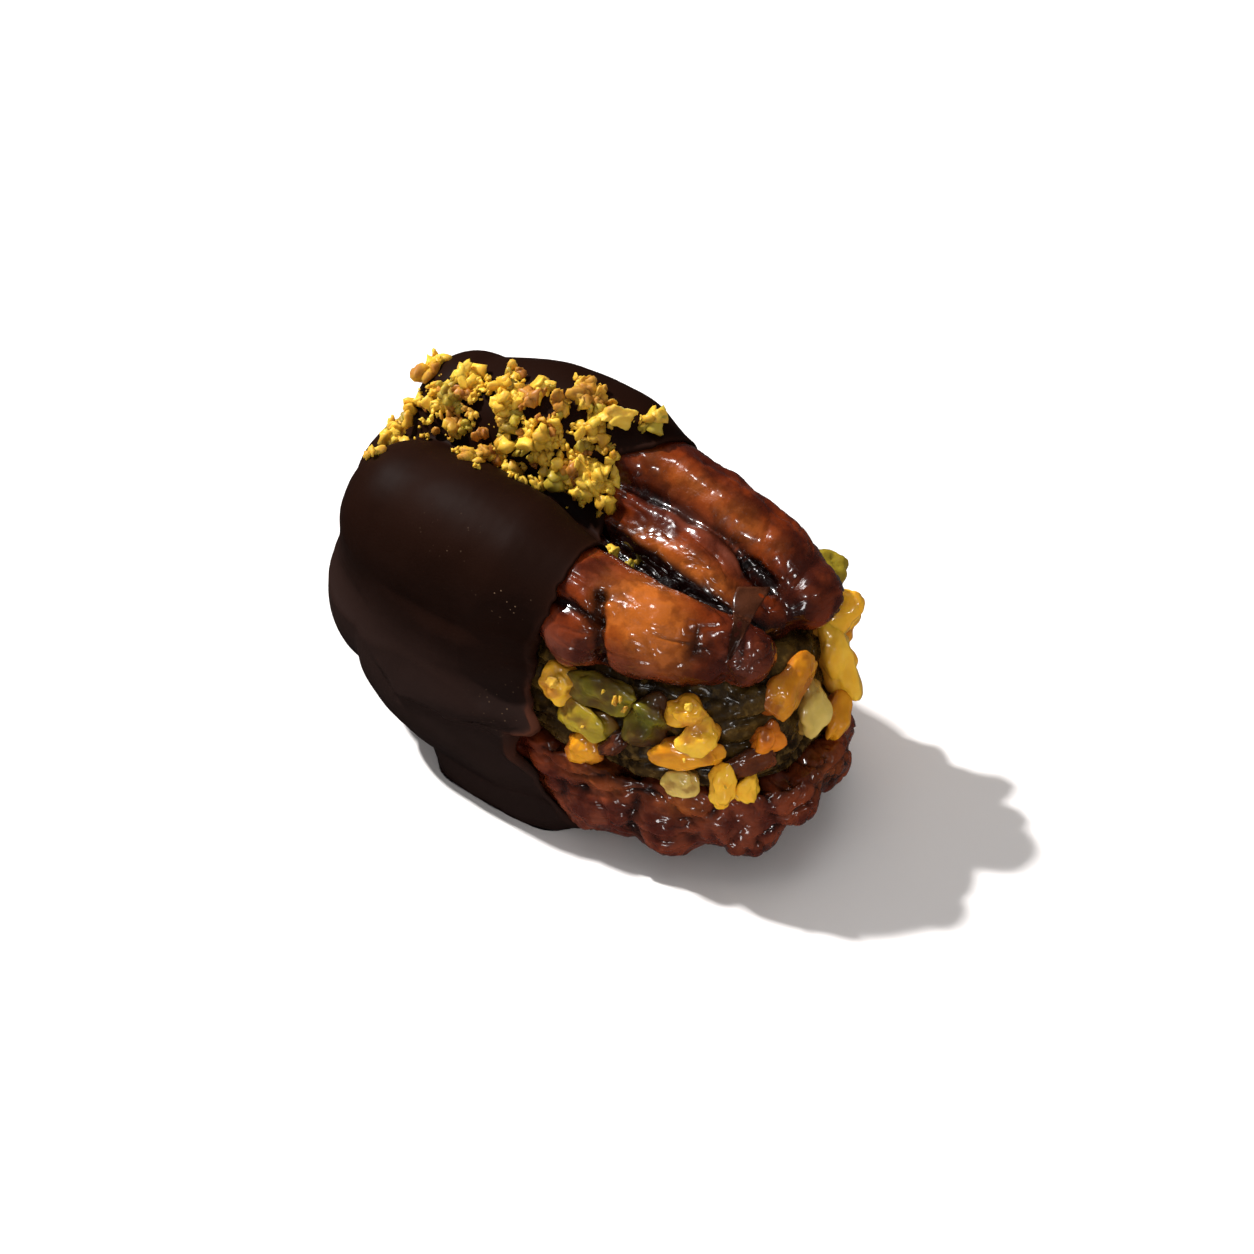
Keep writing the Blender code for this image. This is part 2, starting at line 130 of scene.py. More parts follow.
def layered(points: Array, layers: Layers) -> Array:
    """Adds up smooth noise of several sizes.

    Args:
        points: Places, one to a row.
        layers: The height, the size and the seed of each noise.

    Returns:
        The sum at each place.
    """
    return sum((height * lumps(points, size, seed) for height, size, seed in layers), np.zeros(len(points)))


def drawn_out(points: Array, along: float) -> Array:
    """Squeezes places along X, so that a pattern read there is drawn out that way.

    Args:
        points: Places, one to a row.
        along: What is left of each X.

    Returns:
        The squeezed places.
    """
    return points * np.array([along, 1.0, 1.0])


def veins(points: Array, size: float, seed: float, width: float) -> Array:
    """Thin branching lines, where a noise changes sign.

    Args:
        points: Places, one to a row.
        size: How far apart the lines are.
        seed: Picks another pattern.
        width: How wide a line is, as a share of the noise.

    Returns:
        1 on a line, falling to 0 beside it.
    """
    return np.clip(1.0 - np.abs(lumps(points, size, seed)) / width, 0.0, 1.0)


def slopes(form: Field, points: Array, step: float = 0.05) -> Array:
    """Finds which way a field rises.

    Args:
        form: The field.
        points: Places, one to a row.
        step: Half the distance over which the rise is measured.

    Returns:
        A unit direction for each place.
    """
    found = np.empty_like(points)
    for axis in range(3):
        shift = np.zeros(3)
        shift[axis] = step
        found[:, axis] = form(points + shift) - form(points - shift)
    return found / (np.linalg.norm(found, axis=1, keepdims=True) + 1e-9)


def first_hits(form: Field, starts: Array, ends: Array) -> Array:
    """Walks lines inwards until each meets the form.

    Args:
        form: The field, negative inside.
        starts: The outer end of each line.
        ends: The inner end of each line.

    Returns:
        The first place on the surface for each line.
    """
    lengths = np.linalg.norm(ends - starts, axis=1) + 1e-9
    way = (ends - starts) / lengths[:, None]
    walked = np.zeros(len(starts))
    active = np.arange(len(starts))
    for _ in range(MOST_STRIDES):
        gap = form(starts[active] + way[active] * walked[active, None])
        walked[active] = np.clip(walked[active] + gap * STRIDE, 0.0, lengths[active])
        active = active[np.abs(gap) > CLOSE_ENOUGH]
        if not len(active):
            break
    return starts + way * walked[:, None]


def points_of(vertices: Iterable[bmesh.types.BMVert]) -> Array:
    """Reads the places of vertices.

    Args:
        vertices: The vertices.

    Returns:
        One row for each vertex.
    """
    return np.array([vertex.co for vertex in vertices])


def move_points(vertices: Iterable[bmesh.types.BMVert], points: Array) -> None:
    """Puts vertices at new places.

    Args:
        vertices: The vertices.
        points: One row for each vertex.
    """
    for vertex, point in zip(vertices, points.tolist()):
        vertex.co = point


def chipped(ball: Array, draw: random.Random, cuts: int, depths: tuple[float, float], share: float) -> Array:
    """Presses flat facets into a ball.

    Args:
        ball: Its points, one to a row.
        draw: The seeded source of the facets.
        cuts: How many facets there are.
        depths: The least and the greatest distance of a facet from the middle.
        share: How much of what stands over a facet is pressed in.

    Returns:
        The points of the chipped ball.
    """
    for _ in range(cuts):
        way = np.array([draw.gauss(0, 1) for _ in range(3)])
        way /= np.linalg.norm(way)
        over = np.clip(ball @ way - draw.uniform(*depths), 0.0, None)
        ball = ball - way * (over * share)[:, None]
    return ball


def settle(bm: bmesh.types.BMesh, form: Field, rounds: int, factor: float) -> None:
    """Evens out a mesh while it stays on a form.

    Args:
        bm: The bmesh that is moved.
        form: The field whose surface it stays on.
        rounds: How often it is smoothed and drawn back.
        factor: How strongly each round smooths.
    """
    for _ in range(rounds):
        bmesh.ops.smooth_vert(
            bm, verts=bm.verts[:], factor=factor, use_axis_x=True, use_axis_y=True, use_axis_z=True
        )
        points = points_of(bm.verts)
        for _ in range(2):
            points = points - slopes(form, points) * form(points)[:, None] * PULL
        move_points(bm.verts, points)


@dataclass(frozen=True)
class Wrap:
    """How a cube of quads is drawn tight round a form that lies along X."""

    spine: tuple[float, float]
    axis: tuple[float, float]
    reach: Place
    coarse: int = 32
    splits: int = 4

    def mesh(self, form: Field) -> bmesh.types.BMesh:
        """Draws the cube round a form.

        Args:
            form: The field to be covered.

        Returns:
            An even mesh on the form's surface.
        """
        bm = bmesh.new()
        bmesh.ops.create_cube(bm, size=2.0)
        bmesh.ops.subdivide_edges(bm, edges=bm.edges[:], cuts=self.coarse - 1, use_grid_fill=True)
        cube = points_of(bm.verts)
        one, two = np.roll(cube, 1, 1) ** 2, np.roll(cube, 2, 1) ** 2
        ball = cube * np.sqrt(1 - one / 2 - two / 2 + one * two / 3)
        middle = np.array([sum(self.spine) / 2, *self.axis])
        half = (self.spine[1] - self.spine[0]) / 2
        ends = np.tile(middle, (len(ball), 1))
        ends[:, 0] += np.clip(ball[:, 0] * 1.3, -1.0, 1.0) * half
        move_points(bm.verts, first_hits(form, middle + ball * np.array(self.reach), ends))
        settle(bm, form, 6, 0.5)
        bmesh.ops.subdivide_edges(bm, edges=bm.edges[:], cuts=self.splits - 1, use_grid_fill=True)
        settle(bm, form, 3, 0.5)
        return bm


def openness(form: Field, points: Array, away: Array, reach: float) -> Array:
    """Tells crests from creases.

    Args:
        form: The field whose surface the points are on.
        points: Places on the surface.
        away: The outward direction at each place.
        reach: How far out the open air is tested.

    Returns:
        1 in the open, falling to 0 in a deep crease.
    """
    return np.clip(form(points + away * reach) / reach, 0.0, 1.0)


def placed(name: str, bm: bmesh.types.BMesh, marks: dict[str, Array] | None = None) -> bpy.types.Object:
    """Makes an object of a bmesh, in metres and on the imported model.

    Args:
        name: The object's name.
        bm: The shape in millimetres, freed here.
        marks: Values for each vertex, by name, which materials read.

    Returns:
        The object, smooth shaded.
    """
    bmesh.ops.recalc_face_normals(bm, faces=bm.faces[:])
    bmesh.ops.translate(bm, vec=SHIFT, verts=bm.verts[:])
    bmesh.ops.scale(bm, vec=(MM, MM, MM), verts=bm.verts[:])
    mesh = bpy.data.meshes.new(name)
    bm.to_mesh(mesh)
    bm.free()
    mesh.shade_smooth()
    for mark, values in (marks or {}).items():
        mesh.attributes.new(mark, "FLOAT", "POINT").data.foreach_set("value", values.astype(np.float32))
    made = bpy.data.objects.new(name, mesh)
    bpy.context.scene.collection.objects.link(made)
    LOG.info("%s: %d faces", name, len(mesh.polygons))
    return made


def attach(piece: bpy.types.Object, finish: bpy.types.Material, slot: str, *nodes: str) -> None:
    """Gives a piece its finish and its place on the model.

    Args:
        piece: The piece.
        finish: Its material.
        slot: Not used.
        nodes: The model's nodes that it stands for.
    """
    piece.data.materials.append(finish)
    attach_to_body(piece, BODY)
    if nodes:
        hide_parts(*nodes)


class Graph:
    """Short ways to place and join the nodes of one tree."""

    def __init__(self, tree: bpy.types.NodeTree) -> None:
        """Starts on a tree.

        Args:
            tree: A material's or a group's node tree.
        """
        self.tree = tree

    def node(self, kind: str, settings: dict[str, Any] | None = None, **inputs: Any) -> bpy.types.Node:
        """Adds a node.

        Args:
            kind: Blender's name for the node type, without "ShaderNode".
            settings: Properties of the node.
            inputs: Values or sockets for its inputs, with _ for each space.

        Returns:
            The new node.
        """
        made = self.tree.nodes.new("ShaderNode" + kind)
        for key, value in (settings or {}).items():
            setattr(made, key, value)
        for key, value in inputs.items():
            self.feed(made.inputs[key.replace("_", " ")], value)
        return made

    def feed(self, target: bpy.types.NodeSocket, value: Any) -> None:
        """Sets an input or links it.

        Args:
            target: The input.
            value: A socket to link, or a number or colour to set.
        """
        if isinstance(value, bpy.types.NodeSocket):
            self.tree.links.new(value, target)
        elif isinstance(value, tuple) and len(value) == 3 and target.type == "RGBA":
            target.default_value = (*value, 1.0)
        else:
            target.default_value = value

    def mix(self, share: Any, first: Any, second: Any) -> bpy.types.NodeSocket:
        """Blends two colours.

        Args:
            share: How much of the second shows.
            first: A colour or its socket.
            second: A colour or its socket.

        Returns:
            The blended colour's socket.
        """
        made = self.tree.nodes.new("ShaderNodeMix")
        made.data_type = "RGBA"
        self.feed(made.inputs[0], share)
        self.feed(made.inputs[6], first)
        self.feed(made.inputs[7], second)
        return made.outputs[2]

    def maths(self, kind: str, first: Any, second: Any = 0.0, clamp: bool = False) -> bpy.types.NodeSocket:
        """Does a sum.

        Args:
            kind: Blender's name for the operation.
            first: A number or its socket.
            second: A number or its socket.
            clamp: Keeps the result between 0 and 1.

        Returns:
            The result's socket.
        """
        made = self.node("Math", {"operation": kind, "use_clamp": clamp})
        self.feed(made.inputs[0], first)
        self.feed(made.inputs[1], second)
        return made.outputs[0]

    def step(self, value: Any, low: Any, high: Any) -> bpy.types.NodeSocket:
        """Steps smoothly from 0 to 1.

        Args:
            value: What is stepped.
            low: Where the step starts.
            high: Where the step ends.

        Returns:
            The step's socket.
        """
        made = self.node("MapRange", {"interpolation_type": "SMOOTHSTEP"}, Value=value)
        self.feed(made.inputs["From Min"], low)
        self.feed(made.inputs["From Max"], high)
        return made.outputs[0]

    def noise(self, size: Any, detail: Any, seed: Any, finer: float = 1.0) -> bpy.types.NodeSocket:
        """Adds a noise on the piece's own coordinates.

        Args:
            size: How wide its lumps are, in millimetres.
            detail: How many finer layers it has.
            seed: Picks another pattern.
            finer: How many times smaller than the size its lumps are.

        Returns:
            The noise's socket.
        """
        made = self.node("TexNoise", {"noise_dimensions": "4D"}, W=seed, Detail=detail)
        self.feed(made.inputs["Vector"], self.node("TexCoord").outputs["Object"])
        self.feed(made.inputs["Scale"], self.maths("DIVIDE", finer / MM, size))
        return made.outputs[0]

    def mark(self, name: str) -> bpy.types.NodeSocket:
        """Reads a value that the mesh carries.

        Args:
            name: The value's name.

        Returns:
            Its socket.
        """
        return self.node("Attribute", {"attribute_name": name}).outputs["Fac"]

    def group(self, tree: bpy.types.NodeTree, **inputs: Any) -> bpy.types.NodeSocket:
        """Places a shared node group.

        Args:
            tree: The group.
            inputs: Values or sockets for its inputs.

        Returns:
            The group's first output.
        """
        made = self.tree.nodes.new("ShaderNodeGroup")
        made.node_tree = tree
        for key, value in inputs.items():
            self.feed(made.inputs[key], value)
        return made.outputs[0]


def new_group(name: str, inputs: dict[str, float], output: str) -> tuple[bpy.types.NodeTree, Graph, Any, Any]:
    """Starts a shared node group.

    Args:
        name: The group's name.
        inputs: Its number inputs and what each is at first.
        output: The name of its number output.

    Returns:
        The tree, a graph on it, its input node and its output node.
    """
    tree = bpy.data.node_groups.new(name, "ShaderNodeTree")
    for key, value in inputs.items():
        tree.interface.new_socket(key, in_out="INPUT", socket_type="NodeSocketFloat").default_value = value
    tree.interface.new_socket(output, in_out="OUTPUT", socket_type="NodeSocketFloat")
    graph = Graph(tree)
    return tree, graph, tree.nodes.new("NodeGroupInput"), tree.nodes.new("NodeGroupOutput")


@dataclass
class SharedEffects:
    """The node groups that more than one finish uses."""

    patches: bpy.types.NodeTree = field(init=False)
    grain: bpy.types.NodeTree = field(init=False)
    specks: bpy.types.NodeTree = field(init=False)

    def __post_init__(self) -> None:
        """Builds each group once."""
        self.patches = self._patches()
        self.grain = self._grain()
        self.specks = self._specks()

    @staticmethod
    def _patches() -> bpy.types.NodeTree:
        """Soft uneven patches.

        Returns:
            A group with a mask of noise between a low and a high limit.
        """
        tree, graph, start, end = new_group(
            "Patches", {"Size": 2.0, "Low": 0.4, "High": 0.6, "Detail": 3.0, "Seed": 0.0}, "Mask"
        )
        pattern = graph.noise(start.outputs["Size"], start.outputs["Detail"], start.outputs["Seed"])
        graph.feed(end.inputs[0], graph.step(pattern, start.outputs["Low"], start.outputs["High"]))
        return tree

    @staticmethod
    def _grain() -> bpy.types.NodeTree:
        """Fine relief in two sizes.

        Returns:
            A group with a height, mostly between 0 and 1.
        """
        tree, graph, start, end = new_group("Grain", {"Size": 0.6, "Fine": 0.4, "Seed": 0.0}, "Height")
        broad = graph.noise(start.outputs["Size"], 2.0, start.outputs["Seed"])
        fine = graph.noise(start.outputs["Size"], 3.0, start.outputs["Seed"], finer=4.2)
        part = graph.maths("MULTIPLY", fine, start.outputs["Fine"])
        graph.feed(end.inputs[0], graph.maths("ADD", broad, part))
        return tree

    @staticmethod
    def _specks() -> bpy.types.NodeTree:
        """Scattered pale dots.

        Returns:
            A group with a mask that is 1 on each dot.
        """
        tree, graph, start, end = new_group("Specks", {"Size": 0.5, "Radius": 0.16, "Amount": 0.5}, "Mask")
        place = graph.node("TexCoord").outputs["Object"]
        scale = graph.maths("DIVIDE", 1.0 / MM, start.outputs["Size"])
        cells = graph.node("TexVoronoi", Vector=place, Scale=scale)
        near = graph.maths("LESS_THAN", cells.outputs["Distance"], start.outputs["Radius"])
        zones = graph.node("TexNoise", Vector=place, Scale=420.0, Detail=2.0)
        allowed = graph.maths("LESS_THAN", zones.outputs[0], start.outputs["Amount"])
        graph.feed(end.inputs[0], graph.maths("MULTIPLY", near, allowed))
        return tree


def new_material(name: str, **sockets: Any) -> tuple[bpy.types.Material, Graph, bpy.types.Node]:
    """Starts a material on its Principled shader.

    Args:
        name: The material's name.
        sockets: Constant values of the shader, with _ for each space.

    Returns:
        The material, a graph on its tree and its shader node.
    """
    made = bpy.data.materials.new(name)
    made.use_nodes = True
    graph = Graph(made.node_tree)
    shader = made.node_tree.nodes["Principled BSDF"]
    for key, value in sockets.items():
        graph.feed(shader.inputs[key.replace("_", " ")], value)
    return made, graph, shader


@dataclass(frozen=True)
class PecanFinish:
    """Syrup glazed pecan skin: near black in its creases from painted shade, orange brown where the glaze has
    worn.
    """

    name: str = "glazed_pecan"
    # deep is painted shade, laid into the creases, the low veins and the shade zones.
    deep: Colour = (0.0050, 0.0006, 0.0003)
    wine: Colour = (0.052, 0.0055, 0.0012)
    brown: Colour = (0.162, 0.0215, 0.0022)
    tan: Colour = (0.40, 0.098, 0.011)
    # The bloom colour is a purple grey sugar bloom, and on the lower nut also a painted reflection of the
    # floor.
    bloom_and_floor_sheen: Colour = (0.120, 0.036, 0.022)
    gloss: float = 1.0
    seed: float = 0.0

    def material(self, effects: SharedEffects) -> bpy.types.Material:
        """Builds the material.

        Args:
            effects: The shared node groups.

        Returns:
            The material, which reads the marks open, tan and bloom.
        """
        made, graph, shader = new_material(
            self.name, Coat_Roughness=0.12, Coat_IOR=1.5, IOR=1.47, Specular_IOR_Level=0.10
        )
        patchy = graph.group(effects.patches, Size=2.0, Low=0.42, High=0.60, Detail=5.0, Seed=self.seed)
        fine = graph.group(effects.patches, Size=0.7, Low=0.36, High=0.66, Detail=4.0, Seed=self.seed + 3.0)
        skin = graph.mix(patchy, self.wine, self.brown)
        worn = graph.maths("MULTIPLY", graph.mark("tan"), graph.maths("ADD", fine, 0.95), clamp=True)
        skin = graph.mix(worn, skin, self.tan)
        # The dusty share is bloom, and on the lower nut also painted floor reflection.
        dusty = graph.maths("MULTIPLY", graph.mark("bloom_and_floor_sheen"), graph.maths("ADD", patchy, 0.35), clamp=True)
        skin = graph.mix(graph.maths("MULTIPLY", dusty, 0.75), skin, self.bloom_and_floor_sheen)
        # Painted shade: the deep colour wherever the open mark is low, in creases, veins and shade zones.
        skin = graph.mix(graph.step(graph.mark("open"), 0.16, 0.86), self.deep, skin)
        graph.feed(shader.inputs["Base Color"], skin)
        rough = graph.maths("ADD", graph.maths("MULTIPLY", fine, 0.12), 0.20)
        rough = graph.maths("ADD", rough, graph.maths("MULTIPLY", dusty, 0.12))
        graph.feed(shader.inputs["Roughness"], rough)
        wet = graph.maths("SUBTRACT", self.gloss, graph.maths("MULTIPLY", dusty, 0.25), clamp=True)
        graph.feed(shader.inputs["Coat Weight"], wet)
        height = graph.group(effects.grain, Size=0.60, Fine=0.45, Seed=self.seed)
        bump = graph.node("Bump", Strength=0.60, Distance=0.00010, Height=height)
        graph.feed(shader.inputs["Normal"], bump.outputs[0])
        return made


@dataclass(frozen=True)
class DateFinish:
    """Moist date flesh: a dark olive brown with fine fibres."""

    name: str = "date_flesh"
    dark: Colour = (0.0110, 0.0050, 0.0012)
    olive: Colour = (0.068, 0.036, 0.0080)
    amber: Colour = (0.190, 0.105, 0.020)
    gloss: float = 0.35

    def material(self, effects: SharedEffects) -> bpy.types.Material:
        """Builds the material.

        Args:
            effects: The shared node groups.

        Returns:
            The material, which reads the mark open.
        """
        made, graph, shader = new_material(
            self.name, Coat_Roughness=0.14, Coat_IOR=1.45, IOR=1.42, Specular_IOR_Level=0.10
        )
        patchy = graph.group(effects.patches, Size=2.2, Low=0.38, High=0.64, Detail=4.0, Seed=8.0)
        fine = graph.group(effects.patches, Size=0.5, Low=0.45, High=0.72, Detail=5.0, Seed=9.0)
        flesh = graph.mix(patchy, self.dark, self.olive)
        flesh = graph.mix(graph.maths("MULTIPLY", fine, 0.55), flesh, self.amber)
        # Painted shade: the dark colour in the folds, where the open mark is low.
        flesh = graph.mix(graph.mark("open"), self.dark, flesh)
        graph.feed(shader.inputs["Base Color"], flesh)
        graph.feed(shader.inputs["Roughness"], graph.maths("ADD", graph.maths("MULTIPLY", fine, 0.2), 0.22))
        wet = graph.maths("SUBTRACT", self.gloss, graph.maths("MULTIPLY", fine, 0.25))
        graph.feed(shader.inputs["Coat Weight"], wet)
        height = graph.group(effects.grain, Size=0.40, Fine=0.5, Seed=5.0)
        bump = graph.node("Bump", Strength=0.5, Distance=0.00012, Height=height)
        graph.feed(shader.inputs["Normal"], bump.outputs[0])
        return made


@dataclass(frozen=True)
class ChocolateFinish:
    """Dark chocolate with a satin shine, faint scuffs, a redder broken edge and a painted floor reflection
    that lightens it towards the bottom.
    """

    name: str = "dark_chocolate"
    body: Colour = (0.0100, 0.0031, 0.0015)
    light: Colour = (0.0148, 0.0048, 0.0025)
    # A painted reflection of the floor, mixed in towards the bottom.
    painted_floor_reflection: Colour = (0.0190, 0.0105, 0.0088)
    edge: Colour = (0.055, 0.017, 0.009)
    dust: Colour = (0.16, 0.10, 0.06)

    def material(self, effects: SharedEffects) -> bpy.types.Material:
        """Builds the material.

        Args:
            effects: The shared node groups.

        Returns:
            The material, which reads the marks edge, dusty and low.
        """
        made, graph, shader = new_material(self.name, IOR=1.46, Specular_IOR_Level=0.03)
        cloud = graph.group(effects.patches, Size=7.0, Low=0.35, High=0.70, Detail=3.0, Seed=1.0)
        smear = graph.group(effects.patches, Size=1.6, Low=0.55, High=0.75, Detail=5.0, Seed=2.0)
        tone = graph.mix(graph.maths("MULTIPLY", cloud, 0.6), self.body, self.light)
        # Painted floor reflection: lighter and purpler where the low mark is high.
        tone = graph.mix(graph.mark("low"), tone, self.painted_floor_reflection)
        tone = graph.mix(graph.mark("edge"), tone, self.edge)
        dots = graph.group(effects.specks, Size=0.42, Radius=0.13, Amount=0.52)
        dots = graph.maths("MULTIPLY", dots, graph.mark("dusty"))
        tone = graph.mix(dots, tone, self.dust)
        graph.feed(shader.inputs["Base Color"], tone)
        rough = graph.maths("ADD", graph.maths("MULTIPLY", cloud, 0.08), 0.52)
        rough = graph.maths("ADD", rough, graph.maths("MULTIPLY", smear, 0.10))
        graph.feed(shader.inputs["Roughness"], rough)
        height = graph.group(effects.grain, Size=0.9, Fine=0.25, Seed=4.0)
        bump = graph.node("Bump", Strength=0.22, Distance=0.00006, Height=height)
        graph.feed(shader.inputs["Normal"], bump.outputs[0])
        return made


@dataclass(frozen=True)
class NutFinish:
    """Moist pistachio kernel in one of its colours."""

    name: str
    light: Colour
    dark: Colour
    skin: Colour
    skin_share: float = 0.3
    rough: float = 0.26
    gloss: float = 0.80
    seed: float = 0.0

    def material(self, effects: SharedEffects) -> bpy.types.Material:
        """Builds the material.

        Args:
            effects: The shared node groups.

        Returns:
            The material, which reads the marks tone and open.
        """
        made, graph, shader = new_material(
            self.name,
            Coat_Roughness=0.12,
            Coat_IOR=1.47,
            IOR=1.46,
            Specular_IOR_Level=0.20,
            Subsurface_Weight=0.22,
            Subsurface_Scale=0.0007,
        )
        shader.inputs["Subsurface Radius"].default_value = (1.0, 0.55, 0.15)
        patchy = graph.group(effects.patches, Size=1.4, Low=0.34, High=0.66, Detail=3.0, Seed=self.seed)
        share = graph.maths("MULTIPLY", graph.maths("ADD", patchy, graph.mark("tone")), 0.5)
        tone = graph.mix(share, self.light, self.dark)
        least = 0.62 - self.skin_share * 0.4
        skins = graph.group(effects.patches, Size=1.9, Low=least, High=0.70, Detail=4.0, Seed=self.seed + 5.0)
        tone = graph.mix(graph.maths("MULTIPLY", skins, 0.85), tone, self.skin)
        # Painted shade: the skin colour where the piece sinks into the date and the open mark is low.
        tone = graph.mix(graph.mark("open"), self.skin, tone)
        graph.feed(shader.inputs["Base Color"], tone)
        rough = graph.maths("ADD", graph.maths("MULTIPLY", skins, 0.15), self.rough)
        graph.feed(shader.inputs["Roughness"], rough)
        wet = graph.maths("SUBTRACT", self.gloss, graph.maths("MULTIPLY", skins, 0.2), clamp=True)
        graph.feed(shader.inputs["Coat Weight"], wet)
        height = graph.group(effects.grain, Size=0.7, Fine=0.35, Seed=self.seed)
        bump = graph.node("Bump", Strength=0.4, Distance=0.00008, Height=height)
        graph.feed(shader.inputs["Normal"], bump.outputs[0])
        return made


@dataclass(frozen=True)
class Ridge:
    """A rounded ridge along X, given by stations of x, y, z and radius."""

    stations: tuple[tuple[float, float, float, float], ...]
    mirror: float = 1.0
    steps: int = 60

    @cached_property
    def curve(self) -> Array:
        """Even steps of a smooth curve through the stations.

        Returns:
            Rows of x, y, z and radius.
        """
        knots = np.array(self.stations, float)
        padded = np.vstack([2 * knots[0] - knots[1], knots, 2 * knots[-1] - knots[-2]])
        rows = []
        for start in range(len(knots) - 1):
            before, first, second, after = padded[start : start + 4]
            for t in np.linspace(0.0, 1.0, self.steps // len(knots) + 2)[:-1]:
                bend = (2 * before - 5 * first + 4 * second - after) * t**2
                twist = (3 * first - before - 3 * second + after) * t**3
                rows.append(0.5 * (2 * first + (second - before) * t + bend + twist))
        rows.append(knots[-1])
        return np.array(rows)

    def distance(self, p: Array) -> Array:
        """Measures how far places are from the ridge.

        Args:
            p: Places, one to a row.

        Returns:
            The distances, negative inside.
        """
        x = np.clip(p[:, 0], self.curve[0, 0], self.curve[-1, 0])
        y, z, radius = (np.interp(x, self.curve[:, 0], self.curve[:, column]) for column in (1, 2, 3))
        across = p[:, 1] - self.mirror * y
        return np.sqrt((p[:, 0] - x) ** 2 + across**2 + (p[:, 2] - z) ** 2) - radius


@dataclass(frozen=True)
class Crease:
    """A groove pressed along a line of a few points."""

    points: tuple[Place, ...]
    width: float = 0.45
    depth: float = 0.45

    def share(self, p: Array) -> Array:
        """Measures how far places are into the groove.

        Args:
            p: Places, one to a row.

        Returns:
            1 along the line, falling to 0 beside it.
        """
        least = np.full(len(p), np.inf)
        for first, second in zip(self.points, self.points[1:]):
            start, run = np.array(first), np.array(second) - np.array(first)
            along = np.clip((p - start) @ run / (run @ run), 0.0, 1.0)
            least = np.minimum(least, np.linalg.norm(p - start - along[:, None] * run, axis=1))
        return np.exp(-((least / self.width) ** 2))


@dataclass(frozen=True)
class Zone:
    """A soft edged ball in which a surface looks different."""

    centre: Place
    radii: Place
    amount: float = 1.0

    def share(self, p: Array) -> Array:
        """Measures how far places are into the zone.

        Args:
            p: Places, one to a row.

        Returns:
            The zone's amount at its centre, falling to 0 outside.
        """
        scaled = (p - np.array(self.centre)) / np.array(self.radii)
        return self.amount * np.exp(-((scaled**2).sum(axis=1)))


def zones_at(zones: Iterable[Zone], p: Array) -> Array:
    """Adds up several zones.

    Args:
        zones: The zones.
        p: Places, one to a row.

    Returns:
        The sum at each place, at most 1.
    """
    return np.clip(sum((zone.share(p) for zone in zones), np.zeros(len(p))), 0.0, 1.0)


@dataclass
class PecanHalf:
    """Half a pecan: ridges along its back over a flat inner face."""

    name: str
    node: str
    ridges: tuple[tuple[Ridge, float], ...]
    body_centre: Place
    body_size: Place
    lobes: tuple[tuple[float, float, float, float], ...]
    lobe_join: float
    face_z: float
    faces_down: bool
    wrap: Wrap
    lump: float = 0.24
    lump_size: float = 2.4
    wrinkle: float = 0.055
    wrinkle_size: float = 0.95
    vein: float = 0.10
    vein_size: float = 1.9
    small_vein_size: float = 0.9
    pimple: float = 0.030
    pimple_size: float = 0.50
    crest_reach: tuple[float, float] = (0.9, 2.2)
    seed: float = 0.0
    creases: tuple[Crease, ...] = ()
    tan: tuple[Zone, ...] = ()
    bloom_and_floor_sheen: tuple[Zone, ...] = ()
    shade: tuple[Zone, ...] = ()

    def distance(self, p: Array) -> Array:
        """Measures how far places are from the smooth nut.

        Args:
            p: Places, one to a row.

        Returns:
            The distances, negative inside.
        """
        centre, size = np.array(self.body_centre), np.array(self.body_size)
        scaled = (p - centre) / size
        near = np.linalg.norm(scaled, axis=1)
        nut = near * (near - 1.0) / (np.linalg.norm(scaled / size, axis=1) + 1e-9)
        for ridge, join in self.ridges:
            nut = smooth_union(nut, ridge.distance(p), join)
        balls = [np.linalg.norm(p - np.array(lobe[:3]), axis=1) - lobe[3] for lobe in self.lobes]
        nut = smooth_union(nut, np.min(balls, axis=0), self.lobe_join)
        inner = self.face_z - p[:, 2] if self.faces_down else p[:, 2] - self.face_z
        return np.maximum(nut, inner)

    def relief(self, p: Array) -> Array:
        """Works out the skin's wrinkles.

        Args:
            p: Places on the smooth nut.

        Returns:
            How far each place is raised.
        """
        height = self.lump * lumps(p, self.lump_size)
        height += self.wrinkle * lumps(drawn_out(p, 0.6), self.wrinkle_size, self.seed + 11.0)
        height -= self.vein * veins(drawn_out(p, 0.5), self.vein_size, self.seed + 31.0, 0.14)
        height -= 0.5 * self.vein * veins(drawn_out(p, 0.8), self.small_vein_size, self.seed + 51.0, 0.16)
        height += self.pimple * lumps(drawn_out(p, 0.7), self.pimple_size, self.seed + 71.0)
        return height - sum((crease.depth * crease.share(p) for crease in self.creases), np.zeros(len(p)))

    def build(self, finish: bpy.types.Material) -> bpy.types.Object:
        """Makes the nut.

        Args:
            finish: Its material.

        Returns:
            The finished piece.
        """
        bm = self.wrap.mesh(self.distance)
        flat = points_of(bm.verts)
        away = slopes(self.distance, flat)
        height = self.relief(flat)
        points = flat + away * height[:, None]
        points[:, 2] = np.maximum(points[:, 2], 0.0)
        move_points(bm.verts, points)
        # Painted shade: the open mark falls in creases, in low veins and in the shade zones, and the finish
        # turns near black there.
        unshaded_share = np.min([openness(self.distance, flat, away, reach) for reach in self.crest_reach], axis=0)
        unshaded_share *= ramp(height, -0.45, 0.05) * 0.65 + 0.35
        unshaded_share *= 1.0 - zones_at(self.shade, points)
        marks = {"open": unshaded_share, "tan": zones_at(self.tan, points), "bloom_and_floor_sheen": zones_at(self.bloom_and_floor_sheen, points)}
        piece = placed(self.name, bm, marks)
        attach(piece, finish, "pecan", self.node)
        return piece


